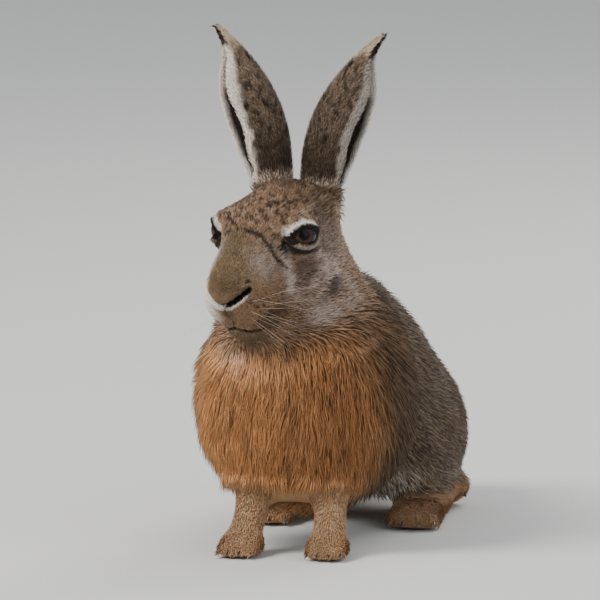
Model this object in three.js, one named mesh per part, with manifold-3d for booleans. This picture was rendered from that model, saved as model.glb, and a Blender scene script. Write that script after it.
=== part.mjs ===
// A brown hare at life size, crouched and alert: ears up, chest fluffed, head turned a little to its right.
// Millimetres, +Z up. The nose points towards -Y, the hare's left is +X, and its paws stand on z = 0.
// The flesh is a few rounded masses that run into one another. They are turned into one closed surface,
// which thin cuts then part into head, neck, trunk and haunches. Limbs, tail and ears grow out of it.
import * as THREE from "three";
import { mergeVertices } from "three/addons/utils/BufferGeometryUtils.js";
import Module from "manifold-3d";

const wasm = await Module();
wasm.setup();

const DEG = Math.PI / 180;
const GAP = 0.3; // the clear cut between two touching pieces
const REACH = 900; // longer than the animal, for the blocks that cut it
const SIDES = { left: 1, right: -1 };

// Driving sizes
const BACK_TOP = 167; // height of the withers
const RUMP_TOP = 137;
const CHEST_HALF = 63; // half width of the fluffed chest
const CHEST_Y = -70; // the chest's middle, ahead of the body's own middle
const HAUNCH_HALF = 62; // half width across the thighs
const HAUNCH_Y = 106;
const EYE_HEIGHT = 197;
const EYE_CENTRE = [-16.6, -103.4, EYE_HEIGHT]; // the point midway between the eyes
const HEAD_YAW = 17; // degrees to the hare's right
const HEAD_PITCH = 20; // degrees nose down
const NOSE_REACH = 57; // from between the eyes to the tip of the nose
const EYE_SPREAD = 25.2; // half the distance between the eyeballs' middles
const EYE_BACK = 1; // of each eyeball behind the point between the eyes
const EYE_RISE = 1.1; // and above it
const EYE_R = 10.5;
const GAZE = 65; // degrees that each eye looks away from straight ahead
const LID = 1.7; // thickness of an eyelid
const LID_OPEN = [9.5, 5.8]; // half width and half height of the eye's opening
const LID_SLANT = 8; // degrees that its front corner sits lower
const EAR_HEIGHT = 96;
const EAR_SWEEP = { left: 49, right: 44 }; // how far each tip bends outwards
const EAR_CURL = 2.5; // how late up the ear it bends
const EAR_DEPTH = 28; // of the cup, from its back fold to the line between its rims
const EAR_HALF = 10.5; // half of the cup's width across
const EAR_THICK = 2.6; // at the back fold, half of that at the rims
const LEG_X = 24; // half the distance between the forelegs
const WRIST_Y = -100;
const PAW_R = 10.5;
const HIND_X = 45; // half the distance between the hind feet
const HEEL_Y = 152;
const HIND_FOOT = 140; // length of the foot, heel to toe
const FOOT_HALF = 14;
const TAIL_LENGTH = 74;
const TAIL_HALF = 17;

// How closely each part is divided, as the side of a grid cell
const TRUNK_CELL = [12, 13, 12];
const HEAD_CELL = [4.3, 4.5, 4.3];
const PAW_CELL = [4.9, 5.4, 4.9];
const FOOT_CELL = [6.6, 8.6, 6.4];
const TAIL_CELL = [7, 8, 7];

// The head's own frame: origin between the eyes, -Y out through the nose, +Z out of the forehead.
const HEAD = new THREE.Matrix4()
  .makeTranslation(...EYE_CENTRE)
  .multiply(new THREE.Matrix4().makeRotationZ(-HEAD_YAW * DEG))
  .multiply(new THREE.Matrix4().makeRotationX(HEAD_PITCH * DEG));
const BODY = new THREE.Matrix4();

// Rounded masses, each a field that is below zero inside and grows outwards in millimetres

function mass(centre, radii, tilt = 0, frame = BODY) {
  const [rx, ry, rz] = radii;
  const m = frame
    .clone()
    .multiply(new THREE.Matrix4().makeTranslation(...centre))
    .multiply(new THREE.Matrix4().makeRotationX(tilt * DEG))
    .invert().elements;
  return (x, y, z) => {
    const a = (m[0] * x + m[4] * y + m[8] * z + m[12]) / rx;
    const b = (m[1] * x + m[5] * y + m[9] * z + m[13]) / ry;
    const c = (m[2] * x + m[6] * y + m[10] * z + m[14]) / rz;
    const near = Math.hypot(a, b, c);
    return (near * (near - 1)) / Math.max(Math.hypot(a / rx, b / ry, c / rz), 1e-6);
  };
}

function limb(from, to, fromRadius, toRadius, frame = BODY) {
  const a = new THREE.Vector3(...from).applyMatrix4(frame);
  const d = new THREE.Vector3(...to).applyMatrix4(frame).sub(a);
  const length2 = d.lengthSq();
  return (x, y, z) => {
    const px = x - a.x;
    const py = y - a.y;
    const pz = z - a.z;
    const t = THREE.MathUtils.clamp((px * d.x + py * d.y + pz * d.z) / length2, 0, 1);
    const radius = fromRadius + (toRadius - fromRadius) * t;
    return Math.hypot(px - t * d.x, py - t * d.y, pz - t * d.z) - radius;
  };
}

// Several masses as one, with the hollows between them filled over a distance of about soft.
function blend(soft, ...fields) {
  return (x, y, z) =>
    fields
      .map((field) => field(x, y, z))
      .reduce((a, b) => {
        const near = Math.max(soft - Math.abs(a - b), 0) / soft;
        return Math.min(a, b) - (near * near * soft) / 4;
      });
}

const both = (make) => [make(1), make(-1)];

// A field's surface as a closed mesh: each grid cell that the surface crosses gives one point, set on it.
// It ends in flat walls where the grid ends.
function surface(field, low, high, cell, offset = 0) {
  const n = low.map((v, i) => Math.ceil((high[i] - v) / cell[i]) + 1);
  const at = (i, j, k) => i + n[0] * (j + n[1] * k);
  const wall = (p, i) => Math.max(low[i] - p[i], p[i] - high[i]) + cell[i] * 1.2;
  const f = (p) => Math.max(field(p[0], p[1], p[2]) - offset, wall(p, 0), wall(p, 1), wall(p, 2));
  const value = new Float32Array(n[0] * n[1] * n[2]);
  for (let k = 0; k < n[2]; k++)
    for (let j = 0; j < n[1]; j++)
      for (let i = 0; i < n[0]; i++)
        value[at(i, j, k)] = f([low[0] + i * cell[0], low[1] + j * cell[1], low[2] + k * cell[2]]);

  const cellPoint = new Map();
  const points = [];
  for (let k = 0; k < n[2] - 1; k++)
    for (let j = 0; j < n[1] - 1; j++)
      for (let i = 0; i < n[0] - 1; i++) {
        const sum = [0, 0, 0];
        let crossings = 0;
        for (let axis = 0; axis < 3; axis++)
          for (let side = 0; side < 4; side++) {
            const start = [i, j, k];
            start[(axis + 1) % 3] += side & 1;
            start[(axis + 2) % 3] += side >> 1;
            const end = [...start];
            end[axis] += 1;
            const a = value[at(...start)];
            const b = value[at(...end)];
            if (a < 0 === b < 0) continue;
            crossings++;
            for (let c = 0; c < 3; c++)
              sum[c] += start[c] + (c === axis ? a / (a - b) : 0);
          }
        if (!crossings) continue;
        const p = sum.map((s, c) => low[c] + (s / crossings) * cell[c]);
        cellPoint.set(at(i, j, k), points.length / 3);
        points.push(...settle(f, p, Math.min(...cell) / 2));
      }

  const index = [];
  for (let k = 1; k < n[2] - 1; k++)
    for (let j = 1; j < n[1] - 1; j++)
      for (let i = 1; i < n[0] - 1; i++)
        for (let axis = 0; axis < 3; axis++) {
          const end = [i, j, k];
          end[axis] += 1;
          const inside = value[at(i, j, k)] < 0;
          if (inside === value[at(...end)] < 0) continue;
          const round = [
            [1, 1],
            [0, 1],
            [0, 0],
            [1, 0],
          ].map(([b, c]) => {
            const where = [i, j, k];
            where[(axis + 1) % 3] -= b;
            where[(axis + 2) % 3] -= c;
            return cellPoint.get(at(...where));
          });
          const [p, q, r, s] = inside ? round : round.reverse();
          const apart = (a, b) =>
            Math.hypot(...[0, 1, 2].map((c) => points[3 * a + c] - points[3 * b + c]));
          if (apart(p, r) <= apart(q, s)) index.push(p, q, r, p, r, s);
          else index.push(q, r, s, q, s, p);
        }
  return new THREE.BufferGeometry()
    .setAttribute("position", new THREE.Float32BufferAttribute(points, 3))
    .setIndex(index);
}

// Moves a point onto the surface along the field's slope, by at most limit.
function settle(f, start, limit) {
  let p = start;
  for (let step = 0; step < 3; step++) {
    const slope = [0, 1, 2].map((c) => {
      const ahead = [...p];
      const behind = [...p];
      ahead[c] += 0.4;
      behind[c] -= 0.4;
      return (f(ahead) - f(behind)) / 0.8;
    });
    const steep = Math.max(slope.reduce((s, v) => s + v * v, 0), 0.05);
    const move = f(p) / steep;
    p = p.map((v, c) => v - move * slope[c]);
  }
  const far = Math.hypot(...p.map((v, c) => v - start[c]));
  return far > limit ? start.map((v, c) => v + ((p[c] - v) * limit) / far) : p;
}

// Closed geometries as solids, and back

function solid(geometry, matrix = BODY) {
  const bare = geometry.clone().applyMatrix4(matrix);
  bare.deleteAttribute("normal");
  bare.deleteAttribute("uv");
  const merged = mergeVertices(bare, 1e-4);
  return new wasm.Manifold(
    new wasm.Mesh({
      numProp: 3,
      vertProperties: new Float32Array(merged.attributes.position.array),
      triVerts: new Uint32Array(merged.index.array),
    }),
  );
}

function largest(body) {
  return body.decompose().reduce((a, b) => (a.volume() > b.volume() ? a : b));
}

function geometryOf(body) {
  const mesh = body.getMesh();
  return new THREE.BufferGeometry()
    .setAttribute("position", new THREE.Float32BufferAttribute(mesh.vertProperties, 3))
    .setIndex(new THREE.BufferAttribute(mesh.triVerts, 1));
}

// The same solid with every point of its surface moved outwards, as room for what is set against it
function swollen(body, by) {
  const geometry = geometryOf(body);
  geometry.computeVertexNormals();
  const { position, normal } = geometry.attributes;
  for (let i = 0; i < position.array.length; i++) position.array[i] += by * normal.array[i];
  return solid(geometry);
}

// All that lies beyond a plane, on the side its normal points to, from room past the plane.
function beyond(point, normal, room = GAP / 2) {
  const n = new THREE.Vector3(...normal).normalize();
  const block = new THREE.BoxGeometry(REACH, REACH, REACH).translate(0, 0, REACH / 2 + room);
  const turn = new THREE.Quaternion().setFromUnitVectors(new THREE.Vector3(0, 0, 1), n);
  return solid(block.applyQuaternion(turn).translate(...point));
}

function part(body, point, normal) {
  const back = normal.map((v) => -v);
  return [body.intersect(beyond(point, normal)), body.intersect(beyond(point, back))];
}

function ball(centre, radii, frame = BODY, around = 28) {
  const sphere = new THREE.SphereGeometry(1, around, Math.round(around * 0.6));
  return solid(sphere.scale(...radii).translate(...centre), frame);
}

// A band of rings along a path, closed by a point at each end. Each ring is an oval with one radius
// along the direction across and one at right angles to it, both read at its place from 0 to 1.
function rope(path, across, radii, steps = 7, sides = 6) {
  const curve = new THREE.CatmullRomCurve3(path.map((p) => new THREE.Vector3(...p)));
  const points = [];
  for (let i = 0; i <= steps; i++) {
    const t = i / steps;
    const centre = curve.getPoint(t);
    const forward = curve.getTangent(t);
    const n = new THREE.Vector3(...across).projectOnPlane(forward).normalize();
    const b = forward.clone().cross(n);
    const [wide, high] = radii(t);
    for (let j = 0; j < sides; j++) {
      const turn = (j / sides) * 2 * Math.PI;
      const p = centre.clone().addScaledVector(n, wide * Math.cos(turn));
      points.push(...p.addScaledVector(b, high * Math.sin(turn)).toArray());
    }
  }
  points.push(...path[0], ...path.at(-1));
  const [first, last] = [(steps + 1) * sides, (steps + 1) * sides + 1];
  const index = [];
  for (let j = 0; j < sides; j++) {
    const k = (j + 1) % sides;
    index.push(first, k, j);
    index.push(last, steps * sides + j, steps * sides + k);
    for (let i = 0; i < steps; i++) {
      const [a, b, c, d] = [i * sides + j, i * sides + k, (i + 1) * sides + k, (i + 1) * sides + j];
      index.push(a, b, c, a, c, d);
    }
  }
  return new THREE.BufferGeometry()
    .setAttribute("position", new THREE.Float32BufferAttribute(points, 3))
    .setIndex(index);
}

// A value read off a short table of [place, value] pairs, running smoothly between them.
function along(table, v) {
  const last = table.length - 2;
  const i = Math.min(Math.max(table.findIndex(([x]) => x > v) - 1, 0), last);
  const k = v >= table[last + 1][0] ? last : i;
  const rise = (a, b) => (table[b][1] - table[a][1]) / (table[b][0] - table[a][0]);
  const span = table[k + 1][0] - table[k][0];
  const t = THREE.MathUtils.clamp((v - table[k][0]) / span, 0, 1);
  const from = rise(Math.max(k - 1, 0), k + 1) * span;
  const to = rise(k, Math.min(k + 2, last + 1)) * span;
  const [p, q] = [table[k][1], table[k + 1][1]];
  return (
    p * (2 * t ** 3 - 3 * t ** 2 + 1) +
    from * (t ** 3 - 2 * t ** 2 + t) +
    q * (3 * t ** 2 - 2 * t ** 3) +
    to * (t ** 3 - t ** 2)
  );
}

// Trunk and neck

const NECK_TOP = [-6, -56, EYE_HEIGHT - 4];
const trunk = blend(
  30,
  mass([0, CHEST_Y + 8, 100], [CHEST_HALF - 5, 53, 62]),
  ...both((s) => mass([s * 31, CHEST_Y + 12, 106], [30, 44, 44])),
  mass([0, CHEST_Y - 12, 90], [CHEST_HALF - 14, 34, 50]),
  mass([0, CHEST_Y + 12, 68], [CHEST_HALF - 8, 46, 44]),
  mass([0, 30, 72], [44, 80, 46]),
  mass([0, 18, BACK_TOP - 66], [42, 84, 62]),
  mass([0, HAUNCH_Y - 4, RUMP_TOP - 62], [37, 76, 60], -6),
  ...both((s) => mass([s * (HAUNCH_HALF - 28), HAUNCH_Y - 8, 47], [27, 60, 38], 5)),
);
const neck = limb([0, -42, 140], NECK_TOP, 40, 24);

// Head, in its own frame

const head = blend(
  9,
  mass([0, 20, 1], [25, 35, 21.5], 0, HEAD), // cranium
  mass([0, -2, 6.6], [19.5, 25, 13], 12, HEAD), // forehead
  limb([0, -8, 0], [0, -42, -10], 18, 13, HEAD), // bridge of the nose
  mass([0, -NOSE_REACH + 9, -14], [10.5, 9, 9], 0, HEAD), // nose
  ...both((s) => mass([s * 8.5, -43, -25], [10, 12.5, 12], 0, HEAD)), // upper lips
  mass([0, -36, -43], [12, 14, 8.5], -6, HEAD), // chin
  ...both((s) => mass([s * 11.5, -18, -18], [13, 28, 17], 0, HEAD)), // sides of the muzzle
  ...both((s) => limb([s * 5, -34, -37], [s * 15, 12, -33], 8, 16, HEAD)), // jaw
  ...both((s) => mass([s * 19, 17, -22], [14, 25, 24], 0, HEAD)), // jaw muscles
  ...both((s) => mass([s * 16.5, 3, 9], [8, 14, 5.5], 0, HEAD)), // brows
  ...both((s) => mass([s * 14, 45, -3], [12, 13, 12], 0, HEAD)), // ear roots
  ...both((s) => mass([s * EYE_SPREAD, EYE_BACK, EYE_RISE], Array(3).fill(EYE_R + LID), 0, HEAD)), // lids
);
const flesh = blend(18, trunk, neck, head);

const TRUNK_BOX = [
  [-92, -182, 0],
  [92, 212, 262],
];
const HEAD_BOX = [
  [-75, -178, 122],
  [55, -20, 252],
];
const whole = solid(surface(flesh, ...TRUNK_BOX, TRUNK_CELL));
const fineHead = solid(surface(flesh, ...HEAD_BOX, HEAD_CELL));
const room = swollen(whole, GAP * 1.2).add(swollen(fineHead, GAP * 1.2));

// Thin cuts: behind the ears and under the jaw, at the root of the neck, and twice across the back

const inHead = (...p) => new THREE.Vector3(...p).applyMatrix4(HEAD).toArray();
const headWay = (...p) => new THREE.Vector3(...p).transformDirection(HEAD).toArray();
const NAPE = [inHead(0, 52, -2), headWay(0, -0.74, 0.67)];
const NECK_ROOT = [0, -62, 147];
const THROAT = [inHead(0, -20, -58), headWay(0, 0.04, 1)];
const headBlock = fineHead.intersect(beyond(...NAPE)).intersect(beyond(...THROAT));
const belowHead = whole.subtract(
  beyond(...NAPE, -GAP / 2).intersect(beyond(...THROAT, -GAP / 2)),
);
const [neckBlock, trunkBlock] = part(belowHead, NECK_ROOT, [0, -0.5, 0.87]);
const [hindBlock, foreBlock] = part(trunkBlock, [0, -6, 90], [0, 1, 0.12]);
const [rumpBlock, loinBlock] = part(hindBlock, [0, 66, 90], [0, 1, -0.1]);

// Haunches: each is the part of the hind trunk inside an oval round the thigh

const thighOval = (s, grow) =>
  ball([s * 62, HAUNCH_Y - 8, 56], [40 + grow, 66 + grow, 58 + grow], BODY, 32);
const haunchRoom = thighOval(1, GAP / 2).add(thighOval(-1, GAP / 2));
const rump = rumpBlock.subtract(haunchRoom);
const loin = loinBlock.subtract(haunchRoom);

// Eyes and the openings of their lids. Each eye sits in a socket just larger than itself.

const eyeBall = (grow) => new THREE.SphereGeometry(EYE_R + grow, 18, 12);

function eyeFrame(s) {
  const gaze = new THREE.Vector3(s * Math.sin(GAZE * DEG), -Math.cos(GAZE * DEG), 0.13).normalize();
  const level = new THREE.Vector3(0, 0, 1).cross(gaze).normalize();
  const up = gaze.clone().cross(level);
  return HEAD.clone()
    .multiply(new THREE.Matrix4().makeTranslation(s * EYE_SPREAD, EYE_BACK, EYE_RISE))
    .multiply(new THREE.Matrix4().makeBasis(level, up, gaze))
    .multiply(new THREE.Matrix4().makeRotationZ(s * LID_SLANT * DEG));
}

function lidOpening(s) {
  const [w, h] = LID_OPEN;
  const almond = new THREE.Shape()
    .moveTo(-w, 0)
    .bezierCurveTo(-w * 0.55, h * 1.35, w * 0.55, h * 1.35, w, 0)
    .bezierCurveTo(w * 0.5, -h * 1.3, -w * 0.5, -h * 1.3, -w, 0);
  const depth = 2 * EYE_R;
  const block = new THREE.ExtrudeGeometry(almond, { depth, bevelEnabled: false, curveSegments: 9 });
  return solid(block.translate(0, 0, EYE_R * 0.3), eyeFrame(s));
}

// Face: grooves along the surface of the head, from points set down near it

const onFace = (...p) => settle((q) => flesh(...q), inHead(...p), 12);
const groove = (points, wide, deep, across) =>
  solid(
    rope(
      points.map((p) => onFace(...p)),
      headWay(...across),
      (t) => {
        const taper = Math.sqrt(Math.sin(Math.PI * THREE.MathUtils.clamp(t, 0.03, 0.97)));
        return [(wide / 2) * taper, deep * taper];
      },
    ),
  );

let face = headBlock;
for (const s of Object.values(SIDES)) {
  const place = new THREE.Matrix4().setPosition(...inHead(s * EYE_SPREAD, EYE_BACK, EYE_RISE));
  const nostril = [[s * 1.6, -57, -20], [s * 7, -55, -17.5], [s * 11.5, -52, -14.8], [s * 14, -48.5, -13]];
  const mouth = [[0, -56, -33], [s * 4.5, -53.5, -38], [s * 9, -48, -41.5], [s * 14, -39, -42]];
  face = face
    .subtract(solid(eyeBall(GAP), place))
    .subtract(lidOpening(s))
    .subtract(groove(nostril, 2.2, 3.2, [0, 0.5, 1]))
    .subtract(groove(mouth, 1.5, 2.6, [0, 0, 1]));
}
const philtrum = [[0, -58, -20], [0, -57, -26], [0, -56, -33]];
face = face.subtract(groove(philtrum, 1.3, 2.2, [1, 0, 0]));

// Ears: a sheet bent into a deep cup that opens outwards. Its back fold runs up the middle. The tables
// give shares of the cup's size, or degrees from the fold round to a rim, against height up the ear.

const EAR_ROOT = { left: [-3.5, -55, 220], right: [-11.9, -55, 225] };
const EAR_OPENS = { left: 2, right: 206 }; // degrees, anticlockwise from the hare's left
const CUP_LOW = [[-0.16, 0.4], [0, 0.43], [0.1, 0.56], [0.2, 0.77], [0.35, 0.95], [0.5, 0.94]];
const CUP_HIGH = [[0.6, 0.86], [0.7, 0.69], [0.8, 0.44], [0.9, 0.23], [1, 0.07]];
const CUP_WIDTHS = [[-0.16, 0.76], [0, 0.86], [0.3, 1], [0.6, 0.95], [1, 0.23]];
const FRONT_RIM = [[-0.16, 150], [0, 148], [0.1, 122], [0.2, 104], [0.35, 92], [0.6, 99], [1, 96]];
const REAR_RIM = [[-0.16, 150], [0, 150], [0.1, 130], [0.2, 112], [0.3, 104], [0.6, 102], [1, 98]];

function earSheet(side) {
  const [rows, columns] = [16, 10];
  const s = SIDES[side];
  const open = EAR_OPENS[side] * DEG;
  const out = new THREE.Vector3(Math.cos(open), Math.sin(open), 0);
  const front = new THREE.Vector3(s * out.y, -s * out.x, 0);
  const faces = [[], []];
  for (let i = 0; i <= rows; i++) {
    const v = -0.16 + (1.16 * i) / rows;
    const deep = EAR_DEPTH * along([...CUP_LOW, ...CUP_HIGH], v);
    const half = EAR_HALF * along(CUP_WIDTHS, v);
    const fold = new THREE.Vector3(...EAR_ROOT[side])
      .addScaledVector(out, EAR_SWEEP[side] * Math.max(v, 0) ** EAR_CURL)
      .add(new THREE.Vector3(0, 0, EAR_HEIGHT * v));
    for (let j = 0; j <= columns; j++) {
      const turn = THREE.MathUtils.lerp(-along(FRONT_RIM, v), along(REAR_RIM, v), j / columns) * DEG;
      const centre = fold
        .clone()
        .addScaledVector(out, deep * (1 - Math.cos(turn)))
        .addScaledVector(front, -half * Math.sin(turn));
      const normal = out
        .clone()
        .multiplyScalar(-Math.cos(turn) / deep)
        .addScaledVector(front, -Math.sin(turn) / half)
        .normalize();
      const rim = Math.abs((2 * j) / columns - 1) ** 3;
      const thick = (EAR_THICK / 2) * (1 - 0.5 * rim) * (1 - 0.45 * Math.max(v, 0) ** 4);
      faces[0].push(centre.clone().addScaledVector(normal, thick));
      faces[1].push(centre.clone().addScaledVector(normal, -thick));
    }
  }
  const at = (face, i, j) => face * faces[0].length + i * (columns + 1) + j;
  const index = [];
  const quad = (a, b, c, d) => index.push(a, b, c, a, c, d);
  for (let i = 0; i < rows; i++)
    for (let j = 0; j < columns; j++) {
      quad(at(0, i, j), at(0, i, j + 1), at(0, i + 1, j + 1), at(0, i + 1, j));
      index.push(at(1, i, j), at(1, i + 1, j + 1), at(1, i, j + 1));
      index.push(at(1, i, j), at(1, i + 1, j), at(1, i + 1, j + 1));
    }
  for (let i = 0; i < rows; i++) {
    quad(at(0, i, 0), at(0, i + 1, 0), at(1, i + 1, 0), at(1, i, 0));
    quad(at(1, i, columns), at(1, i + 1, columns), at(0, i + 1, columns), at(0, i, columns));
  }
  for (let j = 0; j < columns; j++) {
    quad(at(1, 0, j), at(1, 0, j + 1), at(0, 0, j + 1), at(0, 0, j));
    quad(at(0, rows, j), at(0, rows, j + 1), at(1, rows, j + 1), at(1, rows, j));
  }
  const places = faces.flat().flatMap((p) => p.toArray());
  return new THREE.BufferGeometry()
    .setAttribute("position", new THREE.Float32BufferAttribute(places, 3))
    .setIndex(s < 0 ? index : index.reverse());
}

// Forelegs and forepaws: straight columns under the chest, each paw with four toes and their claws

const FLOOR = beyond([0, 0, 0], [0, 0, 1], 0);

function toes(s, centre, spread, reach, radius, turnOut) {
  return [-1.5, -0.5, 0.5, 1.5].map((k) => {
    const start = [centre[0] + s * k * spread, centre[1], centre[2]];
    const length = reach * (1 - 0.1 * Math.abs(k - s * 0.2) ** 1.5);
    const bend = s * (turnOut + k * 7) * DEG;
    const end = [start[0] + length * Math.sin(bend), start[1] - length * Math.cos(bend), radius * 0.85];
    return { start, end, radius, bend };
  });
}

const toeMass = (toe) => limb(toe.start, toe.end, toe.radius, toe.radius * 0.86);

function claw(toe) {
  const [x, y, z] = toe.end;
  const way = [Math.sin(toe.bend), -Math.cos(toe.bend)];
  const reach = (d, drop) => [x + d * way[0], y + d * way[1], z - drop];
  const path = [reach(-1, 0), reach(toe.radius, 0.6), reach(toe.radius + 4.5, 3)];
  return solid(rope(path, [0, 0, 1], (t) => [1.3 * (1.02 - t), 0.9 * (1.02 - t)], 2, 5));
}

function foreLimb(s) {
  const wrist = [s * (LEG_X + 1), WRIST_Y, 27];
  const knuckle = [s * (LEG_X + 3), WRIST_Y - 12, 9];
  const tips = toes(s, [knuckle[0], knuckle[1] - 3, 7], 5, 14, 5, 4);
  const field = blend(
    6,
    limb([s * LEG_X, WRIST_Y + 26, 84], [s * (LEG_X + 0.5), WRIST_Y + 5, 50], 19, 12.5),
    limb([s * (LEG_X + 0.5), WRIST_Y + 5, 50], wrist, 12.5, PAW_R - 0.5),
    limb(wrist, knuckle, PAW_R - 0.5, PAW_R),
    mass([knuckle[0], knuckle[1] - 2, 7], [PAW_R + 1.5, 11, 8.5]),
    ...tips.map(toeMass),
  );
  const low = [s * LEG_X - 26, WRIST_Y - 46, -8];
  const high = [s * LEG_X + 30, WRIST_Y + 50, 104];
  const leg = tips.reduce((body, toe) => body.add(claw(toe)), solid(surface(field, low, high, PAW_CELL)));
  return part(leg.intersect(FLOOR).subtract(room), [0, WRIST_Y, 29], [0, 0.25, 1]);
}

// Hind feet: long and flat on the ground, from the heel behind the haunch to the toes in front of it

function hindFoot(s) {
  const heel = [s * (HIND_X - 3), HEEL_Y - 12, 13];
  const instep = [s * HIND_X, HEEL_Y - HIND_FOOT * 0.6, 11];
  const ballOfFoot = [s * (HIND_X + 1), HEEL_Y - HIND_FOOT + 34, 9];
  const tips = toes(s, [ballOfFoot[0], ballOfFoot[1] - 3, 8], 6.6, 24, 6.2, 3);
  const field = blend(
    7,
    limb([heel[0] - s * 6, heel[1] - 26, 34], heel, 15, 12),
    limb(heel, instep, 12, 11),
    limb(instep, ballOfFoot, 11.5, 10.5),
    mass(ballOfFoot, [FOOT_HALF, 20, 10]),
    mass(instep, [FOOT_HALF - 1, 34, 12]),
    ...tips.map(toeMass),
  );
  const low = [s * HIND_X - 28, HEEL_Y - HIND_FOOT - 22, -10];
  const high = [s * HIND_X + 28, HEEL_Y + 14, 70];
  const foot = tips.reduce((body, toe) => body.add(claw(toe)), solid(surface(field, low, high, FOOT_CELL)));
  return foot.intersect(FLOOR).subtract(room);
}

// Tail: a flat brush that hangs down behind the rump

const TAIL_ROOT = [0, 166, 66];
const TAIL_DROP = 46; // degrees below level
const tailAt = (d, sink = 0) => [
  0,
  TAIL_ROOT[1] + d * Math.cos(TAIL_DROP * DEG),
  TAIL_ROOT[2] - d * Math.sin(TAIL_DROP * DEG) - sink,
];
const tailField = blend(
  8,
  limb(TAIL_ROOT, tailAt(TAIL_LENGTH * 0.4), 9, 10),
  mass(tailAt(TAIL_LENGTH * 0.42), [TAIL_HALF, TAIL_LENGTH * 0.36, 12], -TAIL_DROP),
  mass(tailAt(TAIL_LENGTH * 0.66, 2), [TAIL_HALF * 0.72, TAIL_LENGTH * 0.34, 8], -TAIL_DROP - 6),
);
const tail = solid(surface(tailField, [-30, 140, 2], [30, 246, 96], TAIL_CELL)).subtract(room);

// Every node with the point that it is placed by, its colour and how rough it looks

const nodes = [
  ["head", face, EYE_CENTRE, "#8c7556", 0.85],
  ["neck", neckBlock, NECK_ROOT, "#8d7c64", 0.9],
  ["chest", foreBlock, [0, CHEST_Y, 98], "#ab7d52", 0.9],
  ["torso", loin, [0, 30, 90], "#85745d", 0.9],
  ["rump", rump, [0, HAUNCH_Y, 82], "#82735e", 0.9],
  ["tail", tail, TAIL_ROOT, "#3a332d", 0.9],
];
for (const [side, s] of Object.entries(SIDES)) {
  const eyeAt = inHead(s * EYE_SPREAD, EYE_BACK, EYE_RISE);
  const [leg, paw] = foreLimb(s);
  const ear = solid(earSheet(side)).subtract(room);
  const haunch = hindBlock.intersect(thighOval(s, -GAP / 2));
  nodes.push(
    ["eye_" + side, solid(eyeBall(0).translate(...eyeAt)), eyeAt, "#3b2413", 0.12],
    ["ear_" + side, ear, EAR_ROOT[side], "#7d6b55", 0.85],
    ["foreleg_" + side, leg, [s * LEG_X, WRIST_Y, 29], "#a88254", 0.9],
    ["forepaw_" + side, paw, [s * LEG_X, WRIST_Y, 0], "#b08d62", 0.9],
    ["haunch_" + side, haunch, [s * HIND_X, HAUNCH_Y, 56], "#8b775a", 0.9],
    ["hind_foot_" + side, hindFoot(s), [s * HIND_X, HEEL_Y, 0], "#ab8c64", 0.9],
  );
}

const hare = new THREE.Group();
hare.name = "brown_hare";
for (const [name, body, pivot, color, roughness] of nodes) {
  const material = new THREE.MeshStandardMaterial({ color, roughness, metalness: 0 });
  const geometry = geometryOf(largest(body)).translate(...pivot.map((v) => -v));
  const mesh = new THREE.Mesh(geometry, material);
  mesh.name = name;
  mesh.position.set(...pivot);
  hare.add(mesh);
}

// The origin lies on the floor, under the middle of the whole animal
const reach = new THREE.Box3().setFromObject(hare);
const middle = reach.getCenter(new THREE.Vector3());
for (const mesh of hare.children) mesh.position.sub(new THREE.Vector3(middle.x, middle.y, reach.min.z));

export default hare;
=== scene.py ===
# %% [markdown]
# # A brown hare at life size
# The hare crouches with its ears up and its head turned a little to its right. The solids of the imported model
# give its shape. This lesson dresses them: one skin over all the flesh with sculpted lids, nose and mouth,
# glossy eyes, claws and whiskers, and a coat of about 160,000 small tufts that lie along the body.

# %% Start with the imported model
import math
import bmesh
import bpy
import numpy as np
from mathutils import Matrix, Vector


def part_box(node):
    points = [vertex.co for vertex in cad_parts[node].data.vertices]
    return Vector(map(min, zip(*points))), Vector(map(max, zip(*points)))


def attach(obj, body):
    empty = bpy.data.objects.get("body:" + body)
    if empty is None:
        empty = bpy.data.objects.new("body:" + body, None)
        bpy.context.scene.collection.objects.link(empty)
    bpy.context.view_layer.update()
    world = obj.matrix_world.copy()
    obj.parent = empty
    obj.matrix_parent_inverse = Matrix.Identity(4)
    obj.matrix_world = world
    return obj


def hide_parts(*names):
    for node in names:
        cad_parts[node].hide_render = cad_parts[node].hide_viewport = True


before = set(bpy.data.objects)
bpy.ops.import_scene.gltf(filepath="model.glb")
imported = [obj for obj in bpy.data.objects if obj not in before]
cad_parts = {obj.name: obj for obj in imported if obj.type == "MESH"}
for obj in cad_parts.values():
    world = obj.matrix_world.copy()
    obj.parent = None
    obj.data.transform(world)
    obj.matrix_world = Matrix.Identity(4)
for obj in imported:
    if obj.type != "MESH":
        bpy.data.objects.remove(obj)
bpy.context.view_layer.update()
print("nodes:", len(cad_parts))

# %% [markdown]
# Two rulers make the rest easy to write. One has its zero on the ground, with millimetres along the body.
# The other sits between the eyes and turns with the head, so that a place on the face has the same numbers
# whichever way the hare looks. Both are worked out from where the two eyeballs are in the model.

# %% Two rulers
MM = 0.001
EYE_R = 10.5  # radius of an eyeball
EYE_BACK, EYE_RISE = 1.0, 1.1  # of its middle, from the ruler's zero
HEAD_AT = np.array([-16.6, -103.4, 197])
HEAD_YAW, HEAD_PITCH = -17, 20
SIDES = {"left": 1, "right": -1}


def turn(axis, degrees):
    c, s = math.cos(math.radians(degrees)), math.sin(math.radians(degrees))
    if axis == "X":
        return np.array([[1, 0, 0], [0, c, -s], [0, s, c]])
    return np.array([[c, -s, 0], [s, c, 0], [0, 0, 1]])


def middle_of(node):
    low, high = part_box(node)
    return (np.array(low) + np.array(high)) / 2


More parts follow.
